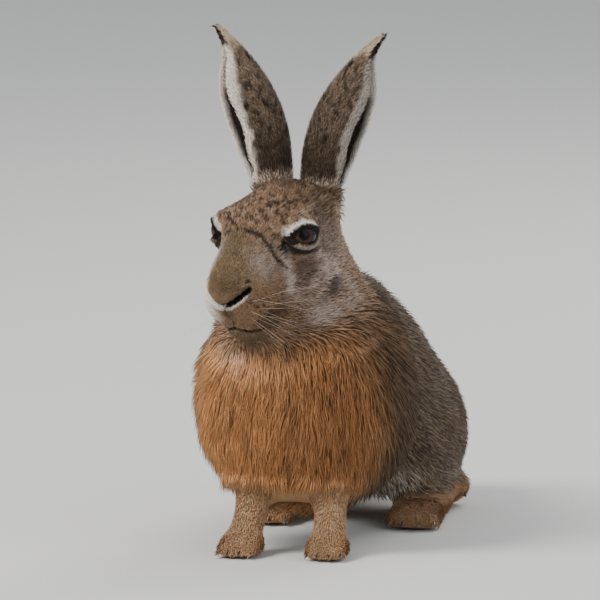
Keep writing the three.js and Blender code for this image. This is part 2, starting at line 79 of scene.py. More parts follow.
EYE_AT = {side: middle_of("eye_" + side) for side in SIDES}
HEAD_TURN = turn("Z", HEAD_YAW) @ turn("X", HEAD_PITCH)
HEAD_ZERO = (EYE_AT["left"] + EYE_AT["right"]) / 2 - HEAD_TURN @ np.array([0, EYE_BACK, EYE_RISE]) * MM
BODY_ZERO = HEAD_ZERO - HEAD_AT * MM


def on_body(p):
    return (np.asarray(p) - BODY_ZERO) / MM


def on_head(p):
    return (np.asarray(p) - HEAD_ZERO) / MM @ HEAD_TURN


def from_body(b):
    return np.asarray(b) * MM + BODY_ZERO


def from_head(h):
    return (np.asarray(h) @ HEAD_TURN.T) * MM + HEAD_ZERO


EYE_CENTRE = {side: on_head(EYE_AT[side]) for side in SIDES}
print("left eye on the head's ruler:", EYE_CENTRE["left"].round(1))

# %% [markdown]
# A few helpers come back again and again: a soft step, a soft oval, a pattern of lumps made from waves, the
# distance to a line, and a smooth curve through a small table.

# %% Helpers for fields
def step(low, high, value):
    t = np.clip((np.asarray(value, float) - low) / (high - low), 0, 1)
    return t * t * (3 - 2 * t)


def mixed(a, b, share):
    """a where share is 0 and b where it is 1. Both may be rows of numbers."""
    a, b, share = np.asarray(a, float), np.asarray(b, float), np.asarray(share, float)
    if max(a.ndim, b.ndim) > share.ndim:
        share = share[:, None]
    return a + (b - a) * share


def unit(rows):
    return rows / np.maximum(np.linalg.norm(rows, axis=-1, keepdims=True), 1e-9)


def oval(p, centre, radii, soft=0.3):
    d = np.linalg.norm((p - np.array(centre)) / np.array(radii), axis=1)
    return 1 - step(1 - soft, 1 + soft, d)


def lumps(p, size, seed):
    """A soft random pattern, about -1 to 1, with lumps of this size."""
    rng = np.random.default_rng(seed)
    total = np.zeros(len(p))
    for _ in range(9):
        wave = 2 * math.pi / (size * rng.uniform(0.7, 1.6))
        bend = np.sin(p @ unit(rng.normal(size=3)) * wave * 0.6)
        total += np.sin(p @ unit(rng.normal(size=3)) * wave + rng.uniform(0, 6.3) + 1.3 * bend)
    return total / 3


def to_lines(h, lines):
    """Distance from each point to the nearest of several lines, each a row of points."""
    best = np.full(len(h), 1e9)
    for line in lines:
        line = np.array(line, float)
        for a, c in zip(line[:-1], line[1:]):
            t = np.clip((h - a) @ (c - a) / max((c - a) @ (c - a), 1e-9), 0, 1)
            best = np.minimum(best, np.linalg.norm(h - a - t[:, None] * (c - a), axis=1))
    return best


def laid_on(h, lines):
    """The same lines with finer points, each moved to the nearest point of the skin."""
    made = []
    for line in lines:
        line = np.array(line, float)
        fine = [a + (c - a) * t for a, c in zip(line[:-1], line[1:]) for t in np.linspace(0, 1, 9)[:-1]]
        made.append(np.array([h[np.argmin(((h - q) ** 2).sum(1))] for q in fine + [line[-1]]]))
    return made


def along(table, v):
    """Reads a smooth curve through a small table of (place, value)."""
    x, y = np.array(table, float).T
    slope = np.empty(len(x))
    slope[1:-1] = (y[2:] - y[:-2]) / (x[2:] - x[:-2])
    slope[0], slope[-1] = (y[1] - y[0]) / (x[1] - x[0]), (y[-1] - y[-2]) / (x[-1] - x[-2])
    k = np.clip(np.searchsorted(x, v, side="right") - 1, 0, len(x) - 2)
    span = x[k + 1] - x[k]
    t = np.clip((v - x[k]) / span, 0, 1)
    start = y[k] * (2 * t**3 - 3 * t**2 + 1) + slope[k] * span * (t**3 - 2 * t**2 + t)
    return start + y[k + 1] * (3 * t**2 - 2 * t**3) + slope[k + 1] * span * (t**3 - t**2)


# %% [markdown]
# Other helpers move plain arrays in and out of meshes, apply the modifiers of a piece, store values on its
# points and, at the end, tell the frame which body a piece rides on and what it replaces.

# %% Helpers for meshes
def placed(name, data):
    piece = bpy.data.objects.new(name, data)
    bpy.context.scene.collection.objects.link(piece)
    return piece


def built(name, points, faces):
    mesh = bpy.data.meshes.new(name)
    mesh.from_pydata(np.asarray(points).tolist(), [], [list(f) for f in faces])
    mesh.update()
    return placed(name, mesh)


def read(items, field, size=3, kind=float):
    out = np.empty(len(items) * size, dtype=kind)
    items.foreach_get(field, out)
    return out.reshape(-1, size) if size > 1 else out


def points_of(mesh):
    return read(mesh.vertices, "co")


def normals_of(mesh):
    return read(mesh.vertex_normals, "vector")


def set_points(mesh, points):
    mesh.vertices.foreach_set("co", np.ascontiguousarray(points).ravel())
    mesh.update()


def smooth(mesh):
    mesh.polygons.foreach_set("use_smooth", np.ones(len(mesh.polygons), bool))


def triangles(mesh):
    return int((read(mesh.polygons, "loop_total", 1, np.int32) - 2).sum())


def applied(piece, name):
    """Turns a piece with its modifiers into a plain mesh, and drops the old one."""
    graph = bpy.context.evaluated_depsgraph_get()
    mesh = bpy.data.meshes.new_from_object(piece.evaluated_get(graph))
    old = piece.data
    bpy.data.objects.remove(piece)
    bpy.data.meshes.remove(old)
    mesh.name = name
    return placed(name, mesh)


def write(mesh, name, kind, values):
    """Stores one value for each point of a mesh under a name."""
    layer = mesh.attributes.new(name, kind, "POINT")
    values = np.asarray(values, np.float32)
    if kind == "FLOAT_COLOR":
        values = np.column_stack([values, np.ones(len(values), np.float32)])
    field = {"FLOAT": "value", "FLOAT_COLOR": "color", "FLOAT_VECTOR": "vector"}[kind]
    layer.data.foreach_set(field, np.ascontiguousarray(values).ravel())


def finished(piece, slot, *nodes):
    if nodes:
        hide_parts(*nodes)
    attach(piece, "root")
    print(f"{piece.name}: {triangles(piece.data)} triangles")


# %% [markdown]
# ## The skin
# On a real hare one skin runs over everything. Modelling it point by point would take days, and showing the
# solids as they are would show their cuts. So copies of the solids are swollen until they overlap, the eye
# sockets are filled, and a voxel remesh wraps the lot in one even surface.

# %% Wrap the flesh in one surface
FLESH = [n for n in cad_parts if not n.startswith(("eye", "ear"))]
SWELL, SOCKET, VOXEL = 0.45, 0.7, 1.15


def swollen_copy(node, by):
    bm = bmesh.new()
    bm.from_mesh(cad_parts[node].data)
    bmesh.ops.remove_doubles(bm, verts=bm.verts, dist=1e-6)
    bm.normal_update()
    points = np.array([v.co[:] for v in bm.verts]) + by * np.array([v.normal[:] for v in bm.verts])
    faces = [[v.index for v in f.verts] for f in bm.faces]
    bm.free()
    return points, faces


def ball(centre, radius, rings=24):
    bm = bmesh.new()
    bmesh.ops.create_uvsphere(bm, u_segments=rings * 2, v_segments=rings, radius=radius)
    points = np.array([v.co[:] for v in bm.verts]) + centre
    faces = [[v.index for v in f.verts] for f in bm.faces]
    bm.free()
    return points, faces


def joined(parts):
    points, faces, start = [], [], 0
    for p, f in parts:
        points.append(p)
        faces += [[i + start for i in face] for face in f]
        start += len(p)
    return np.concatenate(points), faces


parts = [swollen_copy(n, SWELL * MM) for n in FLESH]
parts += [ball(at, (EYE_R + SOCKET) * MM) for at in EYE_AT.values()]
skin = built("skin", *joined(parts))
wrap = skin.modifiers.new("wrap", "REMESH")
wrap.mode = "VOXEL"
wrap.voxel_size = VOXEL * MM
skin = applied(skin, "skin")
print("skin wrapped:", len(skin.data.vertices), "points")

# %% [markdown]
# The solids are faceted, so the surface is relaxed: each point moves towards the middle of its neighbours.
# The broad trunk takes many rounds, the head and feet only a few, or the muzzle and toes would melt. The head
# then keeps its fine points for the sculpting, and a Decimate modifier thins the rest through a vertex group.

# %% Relax the facets and thin the trunk
KEPT_SHARE = 0.3


def relaxed(points, edges, amount, rounds):
    n = len(points)
    a, b = edges.T
    count = np.maximum(np.bincount(a, minlength=n) + np.bincount(b, minlength=n), 1)
    for _ in range(rounds):
        total = [np.bincount(a, points[b, c], n) + np.bincount(b, points[a, c], n) for c in range(3)]
        points = points + amount[:, None] * (np.column_stack(total) / count[:, None] - points)
    return points


def edges_of(mesh):
    return read(mesh.edges, "vertices", 2, np.int32).astype(np.int64)


def head_part(p):
    h = on_head(p)
    return step(62, 46, h[:, 1]) * step(-66, -52, h[:, 2])


p = points_of(skin.data)
b = on_body(p)
trunk_part = (1 - head_part(p)) * step(12, 30, b[:, 2]) * step(212, 190, b[:, 1])
p = relaxed(p, edges_of(skin.data), 0.5 * np.maximum(trunk_part, 0.15), 40)
p = relaxed(p, edges_of(skin.data), 0.6 * trunk_part, 120)
set_points(skin.data, p)

thin = skin.vertex_groups.new(name="thin")
weight = 1 - head_part(p)
for level in range(1, 11):
    thin.add(np.nonzero(np.round(weight * 10) == level)[0].tolist(), level / 10, "REPLACE")
fewer = skin.modifiers.new("fewer", "DECIMATE")
fewer.ratio = KEPT_SHARE
fewer.vertex_group = "thin"
skin = applied(skin, "skin")
print("skin thinned:", len(skin.data.vertices), "points")

# %% [markdown]
# The coat will stand several millimetres high, so the skin sinks under the true outline by that much:
# little on the nose, lids and feet, most on the chest. The same depth later sets the length of the hair.

# %% Sink by the depth of the coat
def leg_part(b):
    fore = step(-84, -94, b[:, 1]) * step(58, 40, b[:, 2])
    hind = step(24, 14, b[:, 2])
    return np.maximum(fore, hind)


def coat_depth(b, h):
    deep = 5.2 + 1.3 * step(60, 110, b[:, 2])
    deep = mixed(deep, 8.0, oval(b, [0, -84, 92], [75, 56, 72], 0.35))
    deep = mixed(deep, 6.0, oval(b, [0, -50, 150], [60, 50, 34], 0.3))
    deep = mixed(deep, 3.0, oval(b, [-4, -52, 196], [50, 46, 36], 0.3))
    deep = mixed(deep, 4.2, oval(b, [0, 100, 60], [90, 70, 70], 0.3) * step(30, 52, np.abs(b[:, 0])))
    deep = mixed(deep, 1.6, leg_part(b))
    deep = mixed(deep, 4.5, oval(b, [0, 190, 50], [40, 40, 60], 0.4))
    on_face = 1.3 + 1.0 * step(-5, 40, h[:, 1]) + 0.7 * step(-10, -35, h[:, 2]) * step(-45, -20, h[:, 1])
    on_face = mixed(on_face, 0.85, step(-20, -50, h[:, 1]))
    for centre in EYE_CENTRE.values():
        on_face = mixed(on_face, 0.3, oval(h, centre, [11, 14, 11], 0.4))
    on_face = mixed(on_face, 0.2, oval(h, [0, -56, -20], [9, 8, 9], 0.4))
    return mixed(deep, on_face, step(66, 40, h[:, 1]) * step(-64, -50, h[:, 2]))


p = points_of(skin.data)
depth = coat_depth(on_body(p), on_head(p))
p = p - normals_of(skin.data) * depth[:, None] * MM
p = relaxed(p, edges_of(skin.data), 0.25 * (1 - head_part(p)), 4)
b = on_body(p)
b[:, 2] = np.maximum(b[:, 2], 1.0)
set_points(skin.data, from_body(b))
print("coat depth:", depth.min().round(1), "to", depth.max().round(1), "mm")

# %% [markdown]
# ## Ears
# An ear is a thin sheet rolled into a deep cup. Its back fold rises from the crown, and each level is part
# of an oval, open to the side. Small tables say how deep and wide the cup is, and how many degrees its front
# and rear rims come round. The sheet has two faces joined at the rims. A Boolean union roots it in the skin.

# %% Ear sheets
EAR_ROOT = {"left": [-3.5, -55, 220], "right": [-11.9, -55, 225]}
EAR_OPENS = {"left": 2, "right": 206}
EAR_SWEEP = {"left": 49, "right": 44}
EAR_HEIGHT, EAR_CURL, EAR_CUP, EAR_HALF = 96, 2.5, 28, 10.5
EAR_FOOT = -0.16  # where the sheet starts, below the crown
CUP_DEEP = [(-0.16, 0.4), (0, 0.43), (0.1, 0.56), (0.2, 0.77), (0.35, 0.95), (0.5, 0.94), (0.6, 0.86),
            (0.7, 0.69), (0.8, 0.44), (0.9, 0.23), (1, 0.07)]
CUP_WIDE = [(-0.16, 0.76), (0, 0.86), (0.3, 1), (0.6, 0.95), (1, 0.23)]
FRONT_RIM = [(-0.16, 150), (0, 148), (0.1, 122), (0.2, 104), (0.35, 92), (0.6, 99), (1, 96)]
REAR_RIM = [(-0.16, 150), (0, 150), (0.1, 130), (0.2, 112), (0.3, 104), (0.6, 102), (1, 98)]


def ear_frame(side, v):
    """The ear's outward and forward ways, its back fold, and the cup's size at a height v along it."""
    a = math.radians(EAR_OPENS[side])
    out = np.array([math.cos(a), math.sin(a), 0])
    front = SIDES[side] * np.array([out[1], -out[0], 0])
    fold = np.array(EAR_ROOT[side]) + np.outer(EAR_HEIGHT * v, [0, 0, 1])
    fold = fold + np.outer(EAR_SWEEP[side] * np.maximum(v, 0) ** EAR_CURL, out)
    return out, front, fold, EAR_CUP * along(CUP_DEEP, v), EAR_HALF * along(CUP_WIDE, v)


def ear_sheet(side, rows=64, columns=44):
    v, u = np.meshgrid(np.linspace(EAR_FOOT, 1, rows + 1), np.linspace(0, 1, columns + 1), indexing="ij")
    v, u = v.ravel(), u.ravel()
    out, front, fold, deep, half = ear_frame(side, v)
    angle = np.radians(-along(FRONT_RIM, v) * (1 - u) + along(REAR_RIM, v) * u)
    c, s = np.cos(angle), np.sin(angle)
    at = fold + np.outer(deep * (1 - c), out) - np.outer(half * s, front)
    back = unit(-np.outer(c / deep, out) - np.outer(s / half, front))
    rib = 0.35 * np.cos(7 * angle) * step(0.1, 0.3, v) * step(0.95, 0.7, v)
    at = at + back * (rib * (1 - np.abs(2 * u - 1)))[:, None]
    thick = 0.75 * (1 - 0.55 * np.abs(2 * u - 1) ** 3) * (1 - 0.4 * np.maximum(v, 0) ** 4)
    points = np.concatenate([at + back * thick[:, None], at - back * thick[:, None]])

    def at_grid(face, i, j):
        return face * len(v) + i * (columns + 1) + j

    faces = []
    for i in range(rows):
        for j in range(columns):
            square = [(i, j), (i, j + 1), (i + 1, j + 1), (i + 1, j)]
            faces.append([at_grid(0, *k) for k in square])
            faces.append([at_grid(1, *k) for k in square[::-1]])
        for j, (a, c) in ((0, (0, 1)), (columns, (1, 0))):
            faces.append([at_grid(a, i, j), at_grid(a, i + 1, j), at_grid(c, i + 1, j), at_grid(c, i, j)])
    for j in range(columns):
        for i, (a, c) in ((0, (1, 0)), (rows, (0, 1))):
            faces.append([at_grid(a, i, j), at_grid(a, i, j + 1), at_grid(c, i, j + 1), at_grid(c, i, j)])
    if side == "left":
        faces = [f[::-1] for f in faces]
    return built("ear_sheet_" + side, from_body(points), faces)


for side in SIDES:
    ear = ear_sheet(side)
    union = skin.modifiers.new("ear", "BOOLEAN")
    union.operation = "UNION"
    union.solver = "MANIFOLD"
    union.object = ear
    skin = applied(skin, "skin")
    bpy.data.objects.remove(ear)
print("skin with ears:", len(skin.data.vertices), "points")

# %% [markdown]
# ## Lids, nose and mouth
# Each eye has a frame of its own: x runs along the lids towards the nose, y up and z out along the gaze. The
# opening is a rounded almond whose front corner sits lower. The distance to its edge tells each point near
# the eye what it is: inside, the skin drops behind the eyeball, at the edge it stands up as a rim, and outside
# it falls back to the face with a fine crease.

# %% Eye frames and the opening
GAZE = math.radians(65)
LID_SLANT = 23  # degrees
OPEN_FRONT, OPEN_REAR, OPEN_UP, OPEN_DOWN = 7.4, 8.8, 4.3, 3.6
FAR_OFF = 20.0  # the distance given to points that aren't beside the eye


def eye_frame(s):
    gaze = unit(np.array([s * math.sin(GAZE), -math.cos(GAZE), 0.13]))
    level = unit(np.cross([0, 0, 1], gaze))
    return np.column_stack([-s * level, np.cross(gaze, level), gaze]) @ turn("Z", LID_SLANT)


def seen_from_eye(h, side):
    """Place on the eyeball's front and distance outside the opening's edge, in millimetres."""
    q = (h - EYE_CENTRE[side]) @ eye_frame(SIDES[side])
    r = np.linalg.norm(q, axis=1)
    x, y = q[:, :2].T / np.maximum(r, 1e-6) * EYE_R
    y = y + 0.7 * np.clip(x / OPEN_FRONT, 0, 1.3) ** 2
    power = 2.3 - 0.4 * step(0, OPEN_FRONT, x)
    half, high = np.where(x > 0, OPEN_FRONT, OPEN_REAR), np.where(y > 0, OPEN_UP, OPEN_DOWN)
    round_ = (np.abs(x / half) ** power + np.abs(y / high) ** power) ** (1 / power)
    edge = np.hypot(x, y) * (1 - 1 / np.maximum(round_, 1e-3))
    return q, r, x, y, np.where((q[:, 2] > 0.1 * r) & (r < EYE_R + 9), edge, FAR_OFF)


print("the left eye looks along", eye_frame(1)[:, 2].round(2))

# %% [markdown]
# The face needs finer points than the rest: around the eyes, nostrils and mouth each edge is halved, twice.
# The folds are set down as short paths: the slit of each nostril, the groove in the upper lip, and the line
# of the mouth. Skin near a fold sinks, and the skin just beside it swells a little, as soft flesh does.

# %% Finer points, then sculpt
FOLD_PATHS = {
    "nostril": [[[s * 0.8, -57, -20.5], [s * 7, -55, -17.5], [s * 11.5, -52, -14.8], [s * 14.5, -48.5, -13]]
                for s in (1, -1)],
    "philtrum": [[[0, -58, -20.5], [0, -57, -26], [0, -55, -34], [0, -53, -39]]],
    "mouth": [[[0, -53, -39], [s * 5, -50, -41], [s * 10, -44.5, -43.2], [s * 14, -39, -45]]
              for s in (1, -1)],
}
FOLD_SHAPE = {"nostril": (1.5, 3.2, 0.6), "philtrum": (0.8, 1.2, 0.3), "mouth": (1.1, 2.4, 0.5)}


def refine(mesh, chosen):
    bm = bmesh.new()
    bm.from_mesh(mesh)
    bm.verts.ensure_lookup_table()
    edges = [e for e in bm.edges if chosen[e.verts[0].index] and chosen[e.verts[1].index]]
    bmesh.ops.subdivide_edges(bm, edges=edges, cuts=1, use_grid_fill=True)
    bmesh.ops.triangulate(bm, faces=bm.faces)
    bm.to_mesh(mesh)
    bm.free()


h = on_head(points_of(skin.data))
folds = {name: laid_on(h, paths) for name, paths in FOLD_PATHS.items()}
every_fold = [line for lines in folds.values() for line in lines]
for eye_reach, fold_reach in ((5.0, 5.0), (2.2, 2.5)):
    h = on_head(points_of(skin.data))
    edge = np.minimum(*[np.abs(seen_from_eye(h, side)[4]) for side in SIDES])
    refine(skin.data, (edge < eye_reach) | (to_lines(h, every_fold) < fold_reach))

h = on_head(points_of(skin.data))
for side, s in SIDES.items():
    q, r, x, y, edge = seen_from_eye(h, side)
    rim = EYE_R + 0.3 + 1.4 * step(0, 1.7, edge) - 0.7 * np.exp(-(((edge - 3.6) / 0.8) ** 2))
    goal = mixed(EYE_R - 1.1, rim, step(-0.5, 0.05, edge))
    blend = 1 - step(2.4, 7.0, edge)
    goal = np.where(edge < 0, goal, np.where(r > goal, mixed(r, goal, blend), goal))
    near = edge < 7.5
    moved = EYE_CENTRE[side] + (q / r[:, None] * goal[:, None]) @ eye_frame(s).T
    h[near] = moved[near]
set_points(skin.data, from_head(h))
n = normals_of(skin.data) @ HEAD_TURN
to_fold = {name: to_lines(h, lines) for name, lines in folds.items()}
for name, (wide, deep, swell) in FOLD_SHAPE.items():
    d = to_fold[name]
    sink = deep * np.exp(-((d / wide) ** 2)) - swell * np.exp(-(((d - 2.2 * wide) / wide) ** 2))
    h = h - n * sink[:, None]
set_points(skin.data, relaxed(from_head(h), edges_of(skin.data), 0.3 * head_part(from_head(h)), 1))
smooth(skin.data)
print("skin sculpted:", len(skin.data.vertices), "points,", triangles(skin.data), "triangles")

# %% [markdown]
# ## Where everything is
# The markings, the lie and the length of the coat depend on the place on the body. So each point of the skin
# is first told where it is: how far it belongs to the face, to an ear and which face of it, to a leg or to
# the tail.

# %% Places on the skin
p = points_of(skin.data)
n = normals_of(skin.data)
b, h = on_body(p), on_head(p)
(bx, by, bz), (hx, hy, hz) = b.T, h.T
count = len(p)
ear_is, ear_v, ear_angle, ear_rim, ear_inner, ear_side = np.zeros((6, count))
for side, s in SIDES.items():
    v = (bz - EAR_ROOT[side][2]) / EAR_HEIGHT
    on_ear = np.clip(v, EAR_FOOT, 1)
    out, front, fold, deep, half = ear_frame(side, on_ear)
    x, y = 1 - (b - fold)[:, :2] @ out[:2] / deep, -((b - fold)[:, :2] @ front[:2]) / half
    angle = np.arctan2(y, x)
    reach = np.where(angle > 0, along(REAR_RIM, on_ear), along(FRONT_RIM, on_ear))
    rim = np.degrees(angle) / reach
    off = (np.hypot(x, y) - 1) * np.minimum(deep, half)
    outward = -np.outer(np.cos(angle) / deep, out) - np.outer(np.sin(angle) / half, front)
    facing = (n * unit(outward)).sum(1)
    on = (v > -0.02) & (np.abs(off) < 2.6) & (np.abs(rim) < 1.12) & (bz > 221)
    ear_is[on], ear_v[on], ear_angle[on], ear_rim[on], ear_side[on] = 1, v[on], angle[on], rim[on], s
    ear_inner[on] = step(0.15, -0.15, facing[on])
lids = {side: seen_from_eye(h, side) for side in SIDES}
lid_edge = np.minimum(lids["left"][4], lids["right"][4])
face_is = step(64, 52, hy) * step(-64, -56, hz) * (1 - ear_is)
leg_is = leg_part(b)
tail_is = step(162, 172, by) * step(95, 85, bz)
print("points on the ears:", int(ear_is.sum()))

# %% [markdown]
# ## Markings
# The marks are laid one over another, as a painter would: the broad browns first, then the pale band round
# the eye, the lips, the dark creases and the spots. Each mark is a soft mask and a colour for the shafts of
# the hair, and if need be the share of tufts whose ends differ and the colour of those ends.

# %% Colours of the body
hair = np.tile([0.2, 0.136, 0.088], (count, 1))
ends = np.tile([0.018, 0.012, 0.009], (count, 1))
fleck = np.full(count, 0.42)


def lay(mask, colour, flecks=None, end=None):
    global hair, ends, fleck
    hair = mixed(hair, colour, mask)
    ends = ends if end is None else mixed(ends, end, mask)
    fleck = fleck if flecks is None else mixed(fleck, flecks, mask)


WHITE, WHITE_END = (0.8, 0.72, 0.64), (0.62, 0.53, 0.45)
BLACK = (0.012, 0.008, 0.006)

lay(step(-0.3, 0.9, n[:, 2]) * 0.7, (0.115, 0.073, 0.043), 0.55)
lay(step(0.0, 1.1, lumps(b, 22, 5)) * 0.45, (0.25, 0.185, 0.125))
belly = step(54, 24, bz) * step(-0.1, -0.8, n[:, 2]) * step(-60, -30, by)
lay(belly, (0.62, 0.54, 0.45), 0.1, (0.5, 0.42, 0.34))
lay(oval(b, [58, -66, 98], [30, 46, 62], 0.4) * 0.8, (0.15, 0.092, 0.052), 0.45)
lay(oval(b, [16, -60, 150], [52, 48, 26], 0.4) * 0.85, (0.26, 0.15, 0.08), 0.4)
chest = oval(b, [-14, -112, 84], [66, 58, 70], 0.26)
lay(chest, (0.69, 0.35, 0.145), 0.12, (0.26, 0.12, 0.05))
streak = lumps(b * [1, 1, 0.2], 8, 4)
lay(chest * step(-0.1, 0.9, streak) * 0.5, (0.45, 0.205, 0.082), 0.22)
lay(chest * step(0.4, 1.1, lumps(b * [1, 1, 0.3], 10, 14)) * 0.35, (0.74, 0.42, 0.2))
# painted shade: the chest darkens towards the hare's left, the side away from the key light
lay(chest * step(-12, 36, bx) * 0.6, (0.36, 0.16, 0.062), 0.22)
# painted shade: the chest darkens towards its lower part
lay(chest * step(70, 30, bz) * 0.35, (0.4, 0.19, 0.08))
lay(oval(b, [-22, -116, 128], [26, 30, 15], 0.45) * 0.5, (0.74, 0.42, 0.22))
lay(oval(b, [-38, -122, 136], [20, 26, 13], 0.5) * 0.8, (0.54, 0.4, 0.31))
lay(chest * step(0.9, 1.3, lumps(b * [1, 1, 0.2], 6, 15)) * 0.7, (0.11, 0.055, 0.028), 0.4)
dark_nape = np.maximum(*[oval(b, [s * 34, -22, 150], [28, 42, 28], 0.45) for s in SIDES.values()])
ragged = 0.6 + 0.4 * step(-0.5, 0.4, lumps(b * [1, 0.3, 0.3], 8, 61))
lay(dark_nape * ragged, (0.06, 0.036, 0.021), 0.6)
lay(leg_is, (0.47, 0.275, 0.145), 0.12, (0.16, 0.09, 0.05))
lay(leg_is * step(0.1, 0.9, lumps(b, 9, 16)) * 0.5, (0.58, 0.4, 0.25))
lay(leg_is * step(0.0, 0.8, n[:, 1]) * step(40, 20, np.abs(bx)) * 0.6, (0.64, 0.52, 0.4))
upper = step(-0.2, 0.2, n[:, 2] + 0.4 * n[:, 1])
lay(tail_is * upper, (0.022, 0.017, 0.015), 0.5, BLACK)
lay(tail_is * (1 - upper), WHITE, 0.05, WHITE_END)
lay(oval(b, [16, -48, 196], [40, 40, 30], 0.35) * (1 - face_is) * 0.8, (0.33, 0.24, 0.16), 0.35)
print("colour of the middle of the chest:", hair[np.argmax(chest)].round(2))

# %% [markdown]
# The face marks use the head's ruler, and most come in pairs, one for each side. The speckles are patches of
# light and dark tufts a few millimetres wide. A dab is a soft oval patch.

# %% Colours of the face
NEAR_BLACK = (0.02, 0.012, 0.008)


def on_face(mask, *look):
    lay(face_is * mask, *look)


def dab(centre, radii, soft, share, *look):
    """A soft oval patch on the face."""
    on_face(oval(h, centre, radii, soft) * share, *look)


def line_mark(paths, wide, wobble=0.3):
    d = to_lines(h, laid_on(h, paths)) + wobble * lumps(h, 5, 8)
    return step(wide * 1.35, wide * 0.65, d)


on_face(1, (0.285, 0.172, 0.098), 0.3, (0.016, 0.01, 0.007))
speckled = step(-30, -12, hy) * step(-14, -4, hz)
on_face(speckled * step(0.1, 0.8, lumps(h, 5.5, 21)) * 0.7, (0.44, 0.3, 0.19), 0.1)
on_face(speckled * step(0.3, 0.8, lumps(h, 5, 22)) * 0.85, (0.055, 0.03, 0.016), 0.7)
on_face(step(14, 36, hy) * step(-6, 6, hz) * 0.75, (0.11, 0.064, 0.032), 0.45)
on_face(step(0.5, 1.0, lumps(h, 7, 23)) * step(14, 30, hy) * step(-4, 6, hz) * 0.7, (0.34, 0.23, 0.14), 0.2)
dab([0, -42, 0], [12, 20, 13], 0.4, 1, (0.205, 0.13, 0.063), 0.15)
dab([-2, -34, 8], [9, 14, 9], 0.5, 0.7, (0.165, 0.112, 0.058), 0.25)
dab([0, -54, -10], [12, 6, 8], 0.5, 0.85, (0.12, 0.076, 0.034), 0.1)
muzzle = step(-22, -32, hy) * step(-22, -12, hz)
on_face(muzzle * step(0.1, 0.9, lumps(h, 9, 27)) * 0.35, (0.3, 0.225, 0.135))
on_face(muzzle * step(0.2, 1.0, lumps(h, 7, 28)) * 0.4, (0.095, 0.062, 0.03), 0.3)
for s in SIDES.values():
    dab([s * 30, 2, -28], [14, 30, 20], 0.4, 1, (0.37, 0.26, 0.195), 0.22)
    cheek = oval(h, [s * 30, 4, -28], [14, 26, 20], 0.3)
    on_face(cheek * step(0.2, 0.9, lumps(h * [1, 0.45, 1], 6, 24)) * 0.7, (0.64, 0.52, 0.44), 0.05)
    on_face(cheek * step(0.3, 1.0, lumps(h * [1, 0.45, 1], 6, 25)) * 0.7, (0.15, 0.095, 0.065), 0.4)
    on_face(cheek * oval(h, [s * 34, 12, -27], [8, 8, 9], 0.4) * 0.6, (0.54, 0.43, 0.38), 0.05)
    on_face(cheek * oval(h, [s * 36, 14, -40], [9, 10, 6], 0.5) * 0.9, (0.062, 0.044, 0.037), 0.3)
    dab([s * 31, -4, -50], [10, 10, 6], 0.5, 0.7, (0.56, 0.44, 0.37), 0.05)
    dab([s * 28, -6, -20], [6, 9, 9], 0.4, 0.75, (0.11, 0.066, 0.042), 0.4)
    dab([s * 31, 24, -8], [10, 16, 16], 0.4, 0.7, (0.2, 0.145, 0.105), 0.4)
    patchy = 0.6 + 0.3 * lumps(h, 5, 26)
    dab([s * 17, -30, -2], [9, 11, 11], 0.8, patchy, (0.4, 0.325, 0.275), 0.15, (0.12, 0.09, 0.07))
    dab([s * 16, -41, -27], [13, 13, 11], 0.35, 1, (0.3, 0.172, 0.086), 0.25)
    # painted shade: a darker patch along and below the line of the mouth
    dab([s * 17, -34, -40], [14, 14, 8], 0.4, 0.85, (0.112, 0.064, 0.03), 0.3)
    band = [[[s * x, y, z] for x, y, z in
             ((36.7, 30.5, -41), (40, 26, -47), (41, 12.5, -50), (37, 1, -50), (29, -9, -50))]]
    on_face(line_mark(band, 4.6, 2.0) * 0.5, (0.46, 0.37, 0.31), 0.12, (0.3, 0.23, 0.18))
    light = [[[s * 22, -16, -3], [s * 23.5, -17, -10], [s * 24.4, -18, -17], [s * 24, -18, -28]]]
    on_face(line_mark(light, 3.6, 1.3) * 0.75, (0.6, 0.485, 0.415), 0.05, (0.4, 0.32, 0.27))
# painted shade: a darker patch under the chin, whose own fur is pale
dab([0, -44, -50], [14, 16, 10], 0.4, 0.85, (0.16, 0.105, 0.062), 0.25)
dab([-15, -47, -46], [8, 10, 10], 0.45, 0.85, (0.56, 0.42, 0.33), 0.05, WHITE_END)
dab([-18, -34, -8], [7, 20, 16], 0.4, 0.7, (0.5, 0.42, 0.34), 0.05, WHITE_END)
dab([-14, -50, -24], [9.5, 13, 11], 0.4, 0.95, WHITE, 0.0, WHITE_END)
dab([-15, -46, -15], [6.5, 12, 8], 0.4, 0.9, WHITE, 0.0, WHITE_END)
print("mean colour of the face:", hair[face_is > 0.5].mean(0).round(2))

# %% [markdown]
# Thin dark marks follow short paths over the skin: a crease from each eye to the bridge of the nose, the line
# across the brow and a row of spots above it. Small dots stand in rows on the left whisker pad.

# %% Creases and spots
creases = [[[s * 24, -18, -13], [s * 22.6, -21.2, -8.5], [s * 20.5, -23.2, -4.5], [s * 13.3, -22.5, 8.8],
            [s * 8, -23.5, 11.8]] for s in SIDES.values()]
on_face(line_mark(creases, 1.25) * 0.95, NEAR_BLACK, 0.8)
brow_line = [[[-16, -10, 14], [-10.3, -16.8, 15.4], [-0.5, -24.5, 13.7], [8, -23.5, 11.8]]]
on_face(line_mark(brow_line, 1.3) * step(-0.5, 0.1, lumps(h, 5, 6)), NEAR_BLACK, 0.8)
spot_line = [[[3.2, -16.7, 17.8], [7.5, -8, 20], [11.1, 2.4, 20.7], [19, 16, 15], [22, 24, 11]]]
on_face(line_mark(spot_line, 1.5) * step(0.15, 0.5, lumps(h, 3.2, 7)), NEAR_BLACK, 0.8)

